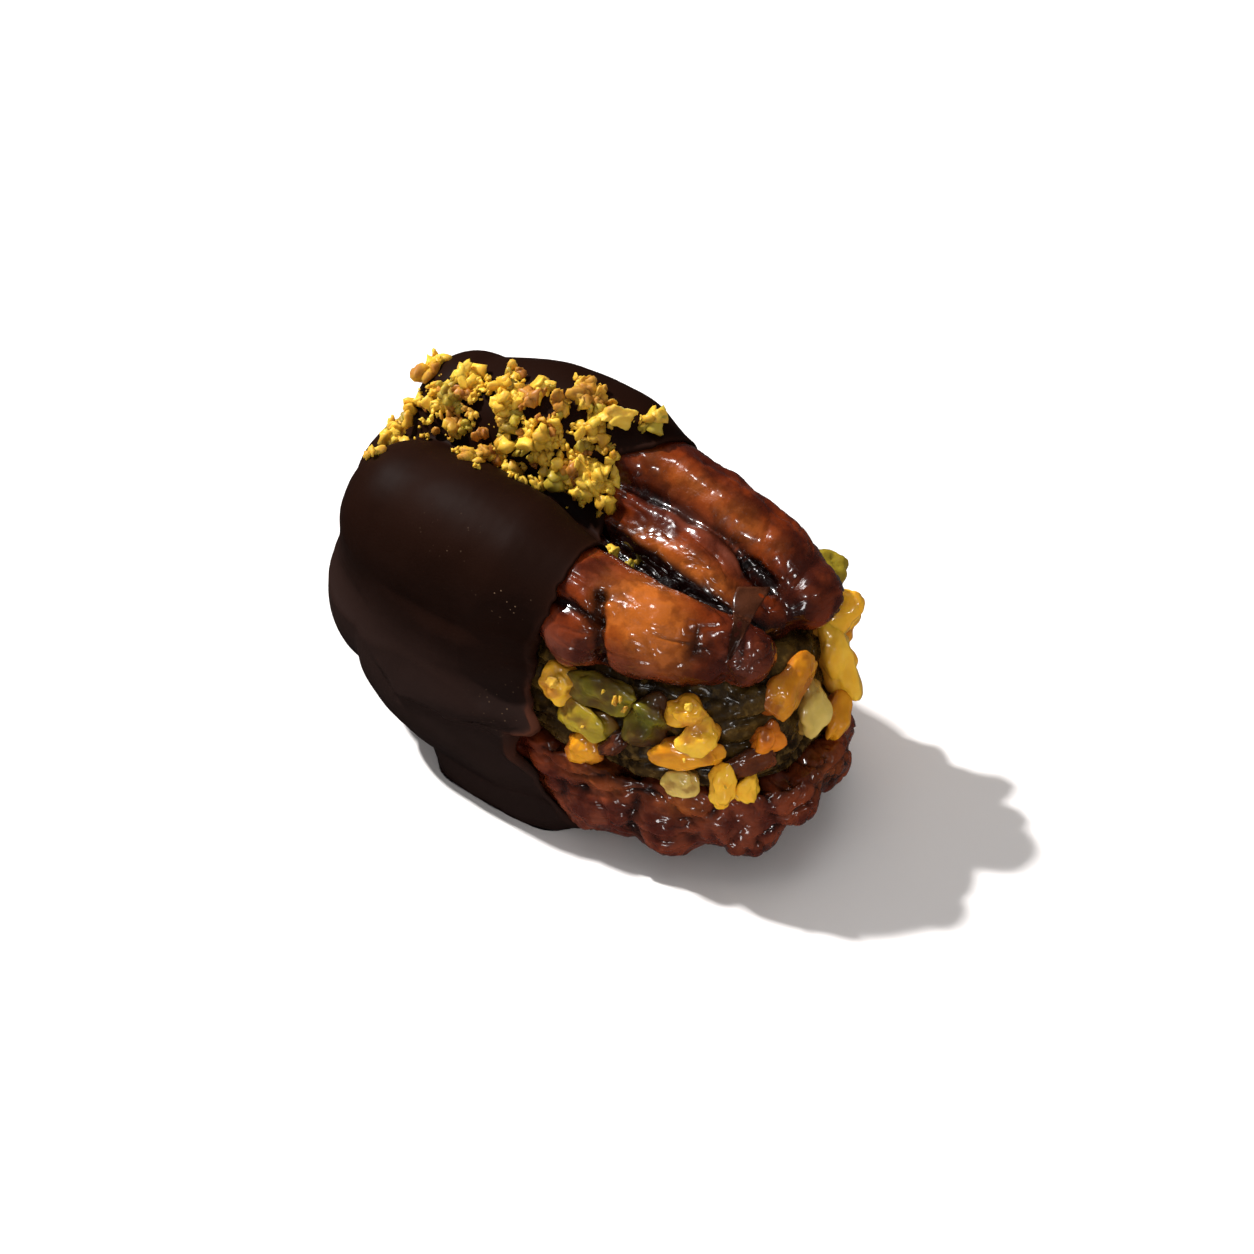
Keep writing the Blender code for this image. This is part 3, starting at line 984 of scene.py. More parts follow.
@dataclass
class DateLayer:
    """The slab of date flesh between the nuts, leaning in towards its top."""

    middle: Place = (-0.6, 0.2, 10.8)
    half_length: float = 16.6
    half_width: float = 8.8
    half_height: float = 3.9
    lean: float = 0.24
    corner: float = 1.7
    fullness: float = 2.5
    wrap: Wrap = Wrap((-11.0, 11.0), (0.0, 10.8), (20.0, 13.0, 9.0), 30, 3)
    swell: Layers = ((0.30, 2.6, 3.0),)
    fibres: Layers = ((0.12, 0.9, 7.0),)
    grain: Layers = ((0.035, 0.4, 9.0),)
    fold: float = 0.30
    fold_size: float = 2.2

    def distance(self, p: Array) -> Array:
        """Measures how far places are from the slab.

        Args:
            p: Places, one to a row.

        Returns:
            The distances, negative inside.
        """
        up = p[:, 2] - self.middle[2]
        inset = self.lean * up + self.corner
        x = (p[:, 0] - self.middle[0]) / (self.half_length - inset)
        y = (p[:, 1] - self.middle[1]) / (self.half_width - inset)
        power = self.fullness
        reach = (np.abs(x) ** power + np.abs(y) ** power) ** (1 / power) + 1e-9
        slope = np.hypot(
            (np.abs(x) / reach) ** (power - 1) / (self.half_length - inset),
            (np.abs(y) / reach) ** (power - 1) / (self.half_width - inset),
        )
        side = (reach - 1.0) / slope
        rise = np.abs(up) - (self.half_height - self.corner)
        outside = np.hypot(np.clip(side, 0.0, None), np.clip(rise, 0.0, None))
        return outside + np.minimum(np.maximum(side, rise), 0.0) - self.corner

    def build(self, finish: bpy.types.Material) -> bpy.types.Object:
        """Makes the flesh with its folds and fibres.

        Args:
            finish: Its material.

        Returns:
            The finished piece.
        """
        bm = self.wrap.mesh(self.distance)
        flat = points_of(bm.verts)
        away = slopes(self.distance, flat)
        folds = veins(flat * np.array([0.5, 0.5, 1.3]), self.fold_size, 5.0, 0.25)
        height = layered(flat, self.swell) - self.fold * folds
        height += layered(flat * np.array([1.0, 1.0, 1.8]), self.fibres) + layered(flat, self.grain)
        move_points(bm.verts, flat + away * height[:, None])
        # The open mark is painted shade, darker in the folds.
        piece = placed("date_flesh", bm, {"open": np.clip(1.0 - folds * 0.7, 0.0, 1.0)})
        attach(piece, finish, "date", "date_layer")
        return piece


class NutKind(Enum):
    """The colours that chopped pistachio comes in."""

    YELLOW = "yellow"
    GREEN = "green"
    OLIVE = "olive"
    AMBER = "amber"
    ORANGE = "orange"
    PALE = "pale"
    RUST = "rust"


@dataclass(frozen=True)
class Pistachio:
    """One chopped piece: its outermost point, its length and breadth, its lean and its colour."""

    tip: Place
    length: float
    breadth: float
    lean: float
    kind: NutKind
    waist: float = 0.0


@dataclass
class PistachioRing:
    """The pistachio pieces set round the side of the date layer."""

    date: DateLayer
    pieces: tuple[Pistachio, ...]
    depth: float = 0.36
    sink: float = 0.4
    swell: float = 1.17
    cuts: int = 3
    cut_depths: tuple[float, float] = (0.62, 0.88)
    cut_share: float = 0.55
    waist_width: float = 0.28
    uneven: Layers = ((0.36, 0.90, 3.7), (0.12, 0.45, 1.9), (0.030, 0.17, 2.3))

    def _piece(self, bm: bmesh.types.BMesh, nut: Pistachio, number: int) -> tuple[int, float]:
        """Adds one piece to a bmesh.

        Args:
            bm: The bmesh that takes it.
            nut: The piece.
            number: Its place in the list, which seeds its shape.

        Returns:
            How many vertices it has, and its own shade between 0 and 1.
        """
        draw = random.Random(number * 7 + 3)
        tip = np.array([nut.tip])
        outward = Vector(slopes(self.date.distance, tip)[0])
        depth = max(nut.breadth * self.depth, (float(self.date.distance(tip)[0]) + self.sink) / 2)
        flat = outward.to_track_quat("Z", "Y").to_matrix()
        level = flat.inverted() @ Vector((-outward.y, outward.x, 0.0))
        turn = flat @ Euler((0.0, 0.0, math.atan2(level.y, level.x) + math.radians(nut.lean))).to_matrix()
        made = bmesh.ops.create_icosphere(bm, subdivisions=5, radius=1.0)["verts"]
        ball = chipped(points_of(made), draw, self.cuts, self.cut_depths, self.cut_share)
        own = tuple((height, size, number * seed) for height, size, seed in self.uneven)
        ball *= (1.0 + layered(ball, own))[:, None]
        ball[:, 1:] *= (1.0 - nut.waist * np.exp(-((ball[:, 0] / self.waist_width) ** 2)))[:, None]
        ball *= np.array([nut.length / 2, nut.breadth / 2, depth]) * self.swell
        place = np.array(nut.tip) - np.array(outward) * depth
        move_points(made, ball @ np.array(turn).T + place)
        return len(made), draw.random()

    def build(self, finishes: dict[NutKind, bpy.types.Material]) -> list[bpy.types.Object]:
        """Makes the pieces, one object for each colour.

        Args:
            finishes: The material of each colour.

        Returns:
            The finished pieces.
        """
        made = []
        for kind in NutKind:
            bm = bmesh.new()
            tones: list[float] = []
            for number, nut in enumerate(self.pieces):
                if nut.kind is kind:
                    count, tone = self._piece(bm, nut, number)
                    tones += [tone] * count
            if not tones:
                bm.free()
                continue
            points = points_of(bm.verts)
            # Painted shade where each piece sinks into the date, read as the open mark.
            buried = ramp(self.date.distance(points), -0.1, 0.9)
            piece = placed(f"pistachio_{kind.value}", bm, {"tone": np.array(tones), "open": buried})
            attach(piece, finishes[kind], "date")
            made.append(piece)
        return made


@dataclass
class Core:
    """What the chocolate covers: both nuts and the date layer."""

    top: PecanHalf
    bottom: PecanHalf
    date: DateLayer

    def distance(self, p: Array, join: Array | float) -> Array:
        """Measures how far places are from the core.

        Args:
            p: Places, one to a row.
            join: How widely the forms are rounded into each other.

        Returns:
            The distances, negative inside.
        """
        nuts = smooth_union(self.top.distance(p), self.bottom.distance(p), join)
        return smooth_union(nuts, self.date.distance(p), join)


@dataclass(frozen=True)
class Flap:
    """A torn bit of the chocolate's edge that stands away from the nut."""

    bearing: float
    spread: float
    lift: float
    reach: float


@dataclass
class ChocolateCoat:
    """The chocolate shell round one end, with its wavy edge, its torn flap and its foot."""

    core: Core
    edge: tuple[tuple[float, float], ...]
    flaps: tuple[Flap, ...]
    crease: tuple[tuple[float, float], ...]
    dusty: tuple[Zone, ...]
    axis_z: float = 11.0
    cap_x: float = -9.0
    wall: float = 1.05
    rim_wall: float = 0.30
    join: float = 5.5
    rim_join: float = 4.0
    foot_x: float = -1.4
    foot_half_length: float = 6.8
    foot_half_width: float = 10.9
    foot_height: float = 1.3
    foot_corner: float = 0.7
    foot_join: float = 1.2
    inner_join: float = 0.8
    inner_gap: float = 0.04
    least_wall: float = 0.12
    ripple: Layers = ((0.22, 2.6, 4.0), (0.17, 0.9, 8.0), (0.09, 0.35, 2.0))
    waves: Layers = ((0.11, 5.5, 2.0), (0.045, 1.9, 6.0), (0.012, 0.7, 3.0))
    layer_step: float = 0.26
    layer_groove: float = 0.10
    low_fold: Layers = ((0.20, 2.4, 21.0),)
    ray_reach: float = 24.0
    columns: int = 140
    rings: int = 68
    outer_share: float = 0.84
    lip_share: float = 0.04
    cap_share: float = 0.34

    def edge_x(self, bearing: Array) -> Array:
        """Finds the chocolate's edge.

        Args:
            bearing: Degrees round the long axis, with 0 up and 90 on the far side.

        Returns:
            The x of the edge.
        """
        table = np.array(self.edge)
        angle = np.radians(bearing)
        ring = np.stack([np.cos(angle), np.sin(angle), np.zeros_like(angle)], axis=1) * 10.0
        return np.interp(bearing, table[:, 0], table[:, 1]) + layered(ring, self.ripple)

    def to_edge(self, p: Array) -> Array:
        """Measures how far places are inside the edge.

        Args:
            p: Places, one to a row.

        Returns:
            The distance along X from each place to the edge.
        """
        table = np.array(self.edge)
        bearing = np.degrees(np.arctan2(p[:, 1], p[:, 2] - self.axis_z))
        return np.interp(bearing, table[:, 0], table[:, 1]) - p[:, 0]

    def distance(self, p: Array) -> Array:
        """Measures how far places are from the outside of the chocolate.

        Args:
            p: Places, one to a row.

        Returns:
            The distances, negative inside.
        """
        inwards = self.to_edge(p)
        wall = self.rim_wall + (self.wall - self.rim_wall) * ramp(inwards, 0.0, 4.5)
        join = self.rim_join + (self.join - self.rim_join) * ramp(inwards, 0.0, 7.0)
        coat = self.core.distance(p, join) - wall
        x = np.abs((p[:, 0] - self.foot_x) / self.foot_half_length)
        y = np.abs(p[:, 1] / self.foot_half_width)
        side = ((x**4 + y**4) ** 0.25 - 1.0) * self.foot_half_length
        rise = p[:, 2] - self.foot_height
        corner = self.foot_corner
        foot = np.hypot(np.clip(side + corner, 0.0, None), np.clip(rise + corner, 0.0, None)) - corner
        return smooth_union(coat, foot, self.foot_join)

    def inside(self, p: Array) -> Array:
        """Measures how far places are from the inside of the chocolate."""
        return self.core.distance(p, self.inner_join) - self.inner_gap

    def relief(self, p: Array) -> Array:
        """Works out the chocolate's waves and its overlapping layer.

        Args:
            p: Places on the smooth shell.

        Returns:
            How far each place is raised.
        """
        height = layered(p, self.waves)
        line = np.array(self.crease)
        above = p[:, 2] - np.interp(p[:, 0], line[:, 0], line[:, 1]) - 0.35 * lumps(p, 1.6, 12.0)
        near = ramp(-p[:, 1], 6.0, 8.5) * ramp(p[:, 0], -12.5, -8.0)
        layer = ramp(above, -0.04, 0.08) * (1.0 - ramp(above, 0.3, 3.6))
        under = np.exp(-(((above + 0.22) / 0.28) ** 2))
        height += near * (self.layer_step * layer - self.layer_groove * under)
        low = ramp(-p[:, 2], -5.0, -1.0)
        return height + low * layered(p * np.array([1.0, 1.0, 0.4]), self.low_fold)

    def rays(self, round_way: Array, along: Array, edge: Array) -> tuple[Array, Array]:
        """Sets out the line on which each vertex lies.

        Args:
            round_way: Each vertex's degrees round the long axis.
            along: 0 at the closed end, 1 at the edge.
            edge: The x of the edge at each vertex.

        Returns:
            Where each line starts on the long axis, and its outward direction.
        """
        tilt = np.radians(90.0) * np.clip(along / self.cap_share, 0.0, 1.0)
        slide = np.clip((along - self.cap_share) / (1.0 - self.cap_share), 0.0, 1.0)
        angle = np.radians(round_way)
        way = np.column_stack([-np.cos(tilt), np.sin(tilt) * np.sin(angle), np.sin(tilt) * np.cos(angle)])
        start = np.zeros_like(way)
        start[:, 0] = self.cap_x + (edge - self.cap_x) * slide
        start[:, 2] = self.axis_z
        return start, way

    def walls(self, start: Array, way: Array) -> tuple[Array, Array]:
        """Finds the two faces of the shell.

        Args:
            start: Where each line starts on the long axis.
            way: Its outward direction.

        Returns:
            Where each line leaves the outer face, with its relief, and the inner face.
        """
        ends = start + way * self.ray_reach
        out = first_hits(self.distance, ends, start)
        inn = first_hits(self.inside, ends, start)
        deepest = np.linalg.norm(out - start, axis=1) - self.least_wall
        inn = start + way * np.minimum(np.linalg.norm(inn - start, axis=1), deepest)[:, None]
        raised = self.relief(out) * ramp(self.to_edge(out), -0.2, 1.2)
        return out + slopes(self.distance, out) * raised[:, None], inn

    def lifted(self, round_way: Array, inwards: Array) -> Array:
        """Works out how far the torn flaps stand away.

        Args:
            round_way: Each vertex's degrees round the long axis.
            inwards: How far each vertex is from the edge.

        Returns:
            The lift of each vertex.
        """
        lift = np.zeros(len(inwards))
        for flap in self.flaps:
            across = ((round_way - flap.bearing) / flap.spread) ** 2
            lift += flap.lift * np.exp(-across) * np.exp(-inwards / flap.reach)
        return lift

    def build(self, finish: bpy.types.Material) -> bpy.types.Object:
        """Makes the shell from a globe that is folded in at its edge.

        Args:
            finish: Its material.

        Returns:
            The finished piece.
        """
        bm = bmesh.new()
        bmesh.ops.create_uvsphere(bm, u_segments=self.columns, v_segments=self.rings, radius=1.0)
        bmesh.ops.subdivide_edges(bm, edges=bm.edges[:], cuts=2, use_grid_fill=True)
        globe = points_of(bm.verts)
        globe /= np.linalg.norm(globe, axis=1, keepdims=True)
        round_way = np.degrees(np.arctan2(globe[:, 1], globe[:, 0]))
        depth = np.arccos(np.clip(globe[:, 2], -1.0, 1.0)) / math.pi
        lip_end = self.outer_share + self.lip_share
        outer = np.clip(depth / self.outer_share, 0.0, 1.0)
        inner = np.clip((1.0 - depth) / (1.0 - lip_end), 0.0, 1.0)
        lip = np.clip((depth - self.outer_share) / self.lip_share, 0.0, 1.0)
        on_inside = depth > lip_end - 1e-6
        along = np.where(on_inside, inner, outer)
        edge = self.edge_x(round_way)
        start, way = self.rays(round_way, along, edge)
        out, inn = self.walls(start, way)
        half = np.linalg.norm(out - inn, axis=1) / 2
        turn = np.pi * lip
        rim = (out + inn) / 2 + (out - inn) / 2 * np.cos(turn)[:, None]
        rim[:, 0] += np.sin(turn) * np.minimum(half, 0.5)
        on_outside = depth < self.outer_share + 1e-6
        points = np.where(on_outside[:, None], out, np.where(on_inside[:, None], inn, rim))
        inwards = np.clip(edge - points[:, 0], 0.0, None)
        lift = self.lifted(round_way, inwards)
        points += way * (lift * (depth > 0.3))[:, None]
        points[:, 2] = np.maximum(points[:, 2], 0.0)
        move_points(bm.verts, points)
        torn = np.clip(lift * 1.3, 0.0, 1.0) * np.exp(-inwards / 0.16)
        marks = {
            "edge": torn + 0.12 * np.exp(-inwards / 0.12),
            "dusty": zones_at(self.dusty, points),
            # The low mark places the painted floor reflection, growing towards the bottom.
            "low": ramp(-points[:, 2], -15.0, -7.0) * 0.8,
        }
        piece = placed("chocolate", bm, marks)
        attach(piece, finish, "chocolate", "chocolate_coat")
        return piece


class CrumbKind(Enum):
    """The colours of pistachio crumb."""

    GOLD = "gold"
    OLIVE = "olive"
    BROWN = "brown"


@dataclass(frozen=True)
class CrumbClump:
    """A clump of crumbs: x and y of its middle, its radius, how many, and how high they pile."""

    x: float
    y: float
    radius: float
    count: int
    pile: float = 0.5


@dataclass
class Crumbs:
    """The pistachio crumbs on top of the chocolate, and the bits that stick to the larger pieces.

    A nugget is given by x, y, its length and its breadth, and a stuck bit by x, y, z and its radius.
    """

    coat: ChocolateCoat
    clumps: tuple[CrumbClump, ...]
    nuggets: tuple[tuple[float, float, float, float], ...]
    stuck: tuple[tuple[float, float, float, float], ...]
    smallest: float = 0.30
    largest: float = 0.95
    dust: tuple[float, float] = (0.07, 0.22)
    plain_below: float = 0.25
    cuts: int = 5
    cut_depths: tuple[float, float] = (0.35, 0.80)
    cut_share: float = 0.9
    chips: int = 4
    chip_spread: Place = (0.42, 0.42, 0.26)
    uneven: tuple[tuple[float, float], ...] = ((0.55, 0.75), (0.30, 0.33))
    gold_share: float = 0.76
    olive_share: float = 0.12
    lot_size: int = 1200
    seed: int = 5

    def ground(self, p: Array) -> Array:
        """Measures how far places are from what shows: the chocolate, or the nuts beyond its edge."""
        bare = self.coat.core.distance(p, self.coat.inner_join)
        return np.where(self.coat.to_edge(p) > 0.0, self.coat.distance(p), bare)

    def drop(self, spots: Array) -> Array:
        """Lets things fall onto the sweet.

        Args:
            spots: Rows of x and y.

        Returns:
            Where each comes to lie.
        """
        high = np.column_stack([spots, np.full(len(spots), 30.0)])
        low = np.column_stack([spots, np.full(len(spots), 11.0)])
        return first_hits(self.ground, high, low)

    def shape(
        self, bm: bmesh.types.BMesh, place: Array, size: Sequence[float], draw: random.Random, finer: int
    ) -> int:
        """Adds one broken crumb to a bmesh.

        Args:
            bm: The bmesh that takes it.
            place: Its centre.
            size: Its three half sizes.
            draw: The seeded source of its shape.
            finer: How finely its ball is divided.

        Returns:
            How many vertices it has.
        """
        made = bmesh.ops.create_icosphere(bm, subdivisions=finer, radius=1.0)["verts"]
        ball = chipped(points_of(made), draw, self.cuts, self.cut_depths, self.cut_share)
        own = tuple((height, width, draw.uniform(0.0, 90.0)) for height, width in self.uneven)
        ball *= (1.0 + layered(ball, own))[:, None]
        turn = np.array(Euler([draw.uniform(0.0, math.tau) for _ in range(3)]).to_matrix())
        move_points(made, (ball * np.array(size)) @ turn.T + place)
        return len(made)

    @staticmethod
    def gather(whole: bmesh.types.BMesh, lot: bmesh.types.BMesh) -> None:
        """Moves a small lot of crumbs into the whole, which keeps each new crumb cheap.

        Args:
            whole: The bmesh that takes them.
            lot: The bmesh that is emptied.
        """
        carrier = bpy.data.meshes.new("carrier")
        lot.to_mesh(carrier)
        whole.from_mesh(carrier)
        bpy.data.meshes.remove(carrier)
        lot.clear()

    def _spots(self, draw: random.Random) -> tuple[Array, list[float], list[float]]:
        """Draws where the crumbs lie.

        Args:
            draw: The seeded source of places.

        Returns:
            Places on the sweet, how high each crumb is piled, and its radius.
        """
        flat, piles, radii = [], [], []
        for clump in self.clumps:
            for _ in range(clump.count):
                reach = clump.radius * math.sqrt(draw.random())
                turn = draw.uniform(0.0, math.tau)
                flat.append((clump.x + reach * math.cos(turn), clump.y + reach * math.sin(turn)))
                heap = 1.0 - 0.7 * reach / clump.radius
                piles.append(clump.pile * heap * draw.random())
                radii.append(self.smallest + (self.largest - self.smallest) * draw.random() ** 1.5)
            for _ in range(clump.count // 2):
                reach = clump.radius * draw.uniform(0.9, 1.6)
                turn = draw.uniform(0.0, math.tau)
                flat.append((clump.x + reach * math.cos(turn), clump.y + reach * math.sin(turn)))
                piles.append(0.0)
                radii.append(draw.uniform(*self.dust))
        return self.drop(np.array(flat)), piles, radii

    def _kind(self, pick: float) -> CrumbKind:
        """Picks a crumb's colour.

        Args:
            pick: A number between 0 and 1.

        Returns:
            The colour.
        """
        if pick > self.gold_share + self.olive_share:
            return CrumbKind.BROWN
        return CrumbKind.OLIVE if pick > self.gold_share else CrumbKind.GOLD

    def build(self, finishes: dict[CrumbKind, bpy.types.Material]) -> list[bpy.types.Object]:
        """Makes the crumbs, one object for each colour.

        Args:
            finishes: The material of each colour.

        Returns:
            The finished pieces.
        """
        draw = random.Random(self.seed)
        shapes = {kind: bmesh.new() for kind in CrumbKind}
        lot = {kind: bmesh.new() for kind in CrumbKind}
        tones: dict[CrumbKind, list[float]] = {kind: [] for kind in CrumbKind}
        for place, pile, radius in zip(*self._spots(draw)):
            kind = self._kind(draw.random())
            size = (radius, radius * draw.uniform(0.6, 1.0), radius * draw.uniform(0.45, 0.9))
            centre = place + np.array([0.0, 0.0, pile + radius * 0.30])
            large = radius > self.plain_below
            for _ in range(self.chips if large else 1):
                spread = np.array([draw.gauss(0, reach) for reach in self.chip_spread]) * radius
                chip = np.array(size) * draw.uniform(0.55, 0.95)
                count = self.shape(lot[kind], centre + spread, chip, draw, 2 if large else 1)
                tones[kind] += [draw.random()] * count
            if len(lot[kind].verts) > self.lot_size:
                self.gather(shapes[kind], lot[kind])
        for x, y, z, radius in self.stuck:
            size = (radius, radius * 0.8, radius * 0.6)
            count = self.shape(lot[CrumbKind.GOLD], np.array([x, y, z]), size, draw, 3)
            tones[CrumbKind.GOLD] += [draw.random()] * count
        for x, y, length, breadth in self.nuggets:
            centre = self.drop(np.array([[x, y]]))[0] + np.array([0.0, 0.0, breadth * 0.40])
            size = (length / 2, breadth / 2, breadth / 2)
            count = self.shape(lot[CrumbKind.GOLD], centre, size, draw, 4)
            tones[CrumbKind.GOLD] += [0.0] * count
        made = []
        for kind, bm in shapes.items():
            self.gather(bm, lot[kind])
            lot[kind].free()
            marks = {"tone": np.array(tones[kind]), "open": np.ones(len(tones[kind]))}
            piece = placed(f"crumbs_{kind.value}", bm, marks)
            attach(piece, finishes[kind], "date")
            made.append(piece)
        return made


@dataclass
class SkinFlake:
    """A thin curled scrap of nut skin that lies across the upper nut's end.

    It is dropped onto the nut along one direction, from above the bare end, and is broad across it.
    """

    nut: PecanHalf
    start: Place = (11.1, 1.5, 18.6)
    end: Place = (12.9, -3.4, 16.9)
    width: float = 2.2
    lift: float = 0.05
    thickness: float = 0.06
    from_way: Place = (0.445, -0.5495, 0.7071)
    broad_way: Place = (0.777, 0.629, 0.0)
    drop: tuple[float, float] = (7.0, 9.0)
    openness: float = 0.9
    bloom_and_floor_sheen: float = 0.1

    def build(self, finish: bpy.types.Material) -> bpy.types.Object:
        """Makes the scrap, draped over the nut.

        Args:
            finish: Its material.

        Returns:
            The finished piece.
        """
        bm = bmesh.new()
        bmesh.ops.create_grid(bm, x_segments=12, y_segments=32, size=0.5)
        flat = points_of(bm.verts)
        across, along = flat[:, 0], flat[:, 1] + 0.5
        taper = (1.0 - 0.90 * along) * (1.0 + 0.45 * lumps(flat, 0.35, 5.0))
        spine = np.array(self.start) + along[:, None] * (np.array(self.end) - np.array(self.start))
        spots = spine + np.array(self.broad_way) * (across * self.width * taper)[:, None]
        back = np.array(self.from_way)
        lying = first_hits(self.nut.distance, spots + back * self.drop[0], spots - back * self.drop[1])
        curl = self.lift * (0.4 + 2.4 * across**2)
        move_points(bm.verts, lying + back * curl[:, None])
        bmesh.ops.solidify(bm, geom=bm.faces[:] + bm.edges[:] + bm.verts[:], thickness=self.thickness)
        levels = {"open": self.openness, "tan": 0.0, "bloom_and_floor_sheen": self.bloom_and_floor_sheen}
        marks = {mark: np.full(len(bm.verts), level) for mark, level in levels.items()}
        piece = placed("skin_flake", bm, marks)
        attach(piece, finish, "pecan")
        return piece


class LampUse(Enum):
    """What a light does."""

    KEY = "lights the sweet and shows in it"
    FILL = "only lightens the shadows"
    SHINE = "only shows in shiny surfaces"


@dataclass(frozen=True)
class Lamp:
    """A square light that faces the sweet: the way to it, and its distance and side in metres."""

    name: str
    way: Place
    distance: float
    size: float
    power: float
    use: LampUse

    def hang(self, height: float) -> None:
        """Hangs the lamp.

        Args:
            height: How high above the tray it aims, in metres.
        """
        data = bpy.data.lights.new(self.name, "AREA")
        data.size = self.size
        data.energy = self.power
        made = bpy.data.objects.new(self.name, data)
        bpy.context.scene.collection.objects.link(made)
        way = Vector(self.way)
        made.location = Vector((0.0, 0.0, height)) + way.normalized() * self.distance
        made.rotation_euler = way.to_track_quat("Z", "Y").to_euler()
        made.visible_glossy = self.use is not LampUse.FILL
        made.visible_diffuse = self.use is not LampUse.SHINE


@dataclass
class Studio:
    """The pale floor, the lights and the camera."""

    aim: Place = (0.44, -0.835, 12.0)
    azimuth: float = 39.0
    elevation: float = 45.0
    offset: tuple[float, float] = (1.79, -1.66)
    distance: float = 420.0
    view_width: float = 83.05
    key_travel: tuple[float, float] = (1.0, 0.13)
    key_elevation: float = 48.8
    key_distance: float = 0.6
    key_size: float = 0.024
    key_power: float = 5.5
    halo_size: float = 0.075
    halo_power: float = 1.10
    lamps: tuple[Lamp, ...] = (
        Lamp("shine_above", (-0.27, -0.13, 0.95), 0.6, 0.07, 0.45, LampUse.SHINE),
        Lamp("shine_front", (0.30, -0.75, 0.85), 0.6, 0.06, 0.60, LampUse.SHINE),
        Lamp("shine_right", (0.95, -0.10, 0.80), 0.6, 0.06, 0.40, LampUse.SHINE),
        Lamp("shine_low", (0.42, -0.85, 0.10), 0.6, 0.09, 0.45, LampUse.SHINE),
        Lamp("softbox_top", (-0.15, 0.25, 1.0), 0.5, 0.35, 0.60, LampUse.FILL),
        Lamp("softbox_front", (0.65, -0.80, 0.42), 0.6, 0.30, 0.60, LampUse.FILL),
    )
    lamp_aim: float = 0.010
    room: float = 0.275
    room_dimmed: float = 0.05
    floor_colour: Colour = (0.90, 0.86, 0.84)
    floor_wear: float = 0.985
    floor_reach: float = 0.3

    def axes(self) -> tuple[Vector, Vector, Vector]:
        """Finds the camera's own directions.

        Returns:
            Right, up and back as unit vectors.
        """
        turn, rise = math.radians(self.azimuth), math.radians(self.elevation)
        back = Vector((math.sin(turn) * math.cos(rise), -math.cos(turn) * math.cos(rise), math.sin(rise)))
        right = Vector((math.cos(turn), math.sin(turn), 0.0))
        return right, back.cross(right), back

    def camera(self) -> None:
        """Places the camera at the photograph's angle."""
        right, up, back = self.axes()
        data = bpy.data.cameras.new("camera")
        data.sensor_width = 36.0
        data.lens = 36.0 * self.distance / self.view_width
        data.clip_start = 0.01
        data.clip_end = 20.0
        made = bpy.data.objects.new("camera", data)
        bpy.context.scene.collection.objects.link(made)
        centre = Vector(self.aim) + right * self.offset[0] + up * self.offset[1]
        matrix = Matrix((right, up, back)).transposed().to_4x4()
        matrix.translation = (centre + back * self.distance) * MM
        made.matrix_world = matrix
        bpy.context.scene.camera = made

    def lights(self) -> None:
        """Sets a small hard key with a halo that only shines, then the other lamps."""
        rise = math.tan(math.radians(self.key_elevation)) * math.hypot(*self.key_travel)
        way = (-self.key_travel[0], -self.key_travel[1], rise)
        key = Lamp("key", way, self.key_distance, self.key_size, self.key_power, LampUse.KEY)
        halo = Lamp("shine_behind", way, self.key_distance, self.halo_size, self.halo_power, LampUse.SHINE)
        for lamp in (key, halo, *self.lamps):
            lamp.hang(self.lamp_aim)

    def surroundings(self) -> None:
        """Sets a dim white room, dimmer still in reflections, that the camera sees as white."""
        world = bpy.data.worlds.new("room")
        world.use_nodes = True
        bpy.context.scene.world = world
        graph = Graph(world.node_tree)
        room = world.node_tree.nodes["Background"]
        graph.feed(room.inputs["Color"], (1.0, 1.0, 1.0))
        paths = graph.node("LightPath")
        dim = graph.maths("MULTIPLY", paths.outputs["Is Glossy Ray"], self.room_dimmed - self.room)
        seen = graph.maths("MULTIPLY", paths.outputs["Is Camera Ray"], 1.0 - self.room)
        graph.feed(room.inputs["Strength"], graph.maths("ADD", graph.maths("ADD", dim, seen), self.room))

    def floor(self) -> None:
        """Lays the pale floor."""
        bm = bmesh.new()
        bmesh.ops.create_grid(bm, x_segments=1, y_segments=1, size=self.floor_reach)
        mesh = bpy.data.meshes.new("floor")
        bm.to_mesh(mesh)
        bm.free()
        made = bpy.data.objects.new("floor", mesh)
        bpy.context.scene.collection.objects.link(made)
        finish, graph, shader = new_material("pale_floor", Roughness=0.6, Specular_IOR_Level=0.2)
        place = graph.node("TexCoord").outputs["Object"]
        mottle = graph.node("TexNoise", Vector=place, Scale=260.0, Detail=4.0).outputs[0]
        worn = tuple(value * self.floor_wear for value in self.floor_colour)
        tone = graph.mix(mottle, worn, self.floor_colour)
        graph.feed(shader.inputs["Base Color"], tone)
        mesh.materials.append(finish)
        made.visible_glossy = False

    def build(self) -> None:
        """Sets up the whole studio."""
        self.camera()
        self.lights()
        self.surroundings()
        self.floor()
        bpy.context.scene.view_settings.view_transform = "Standard"


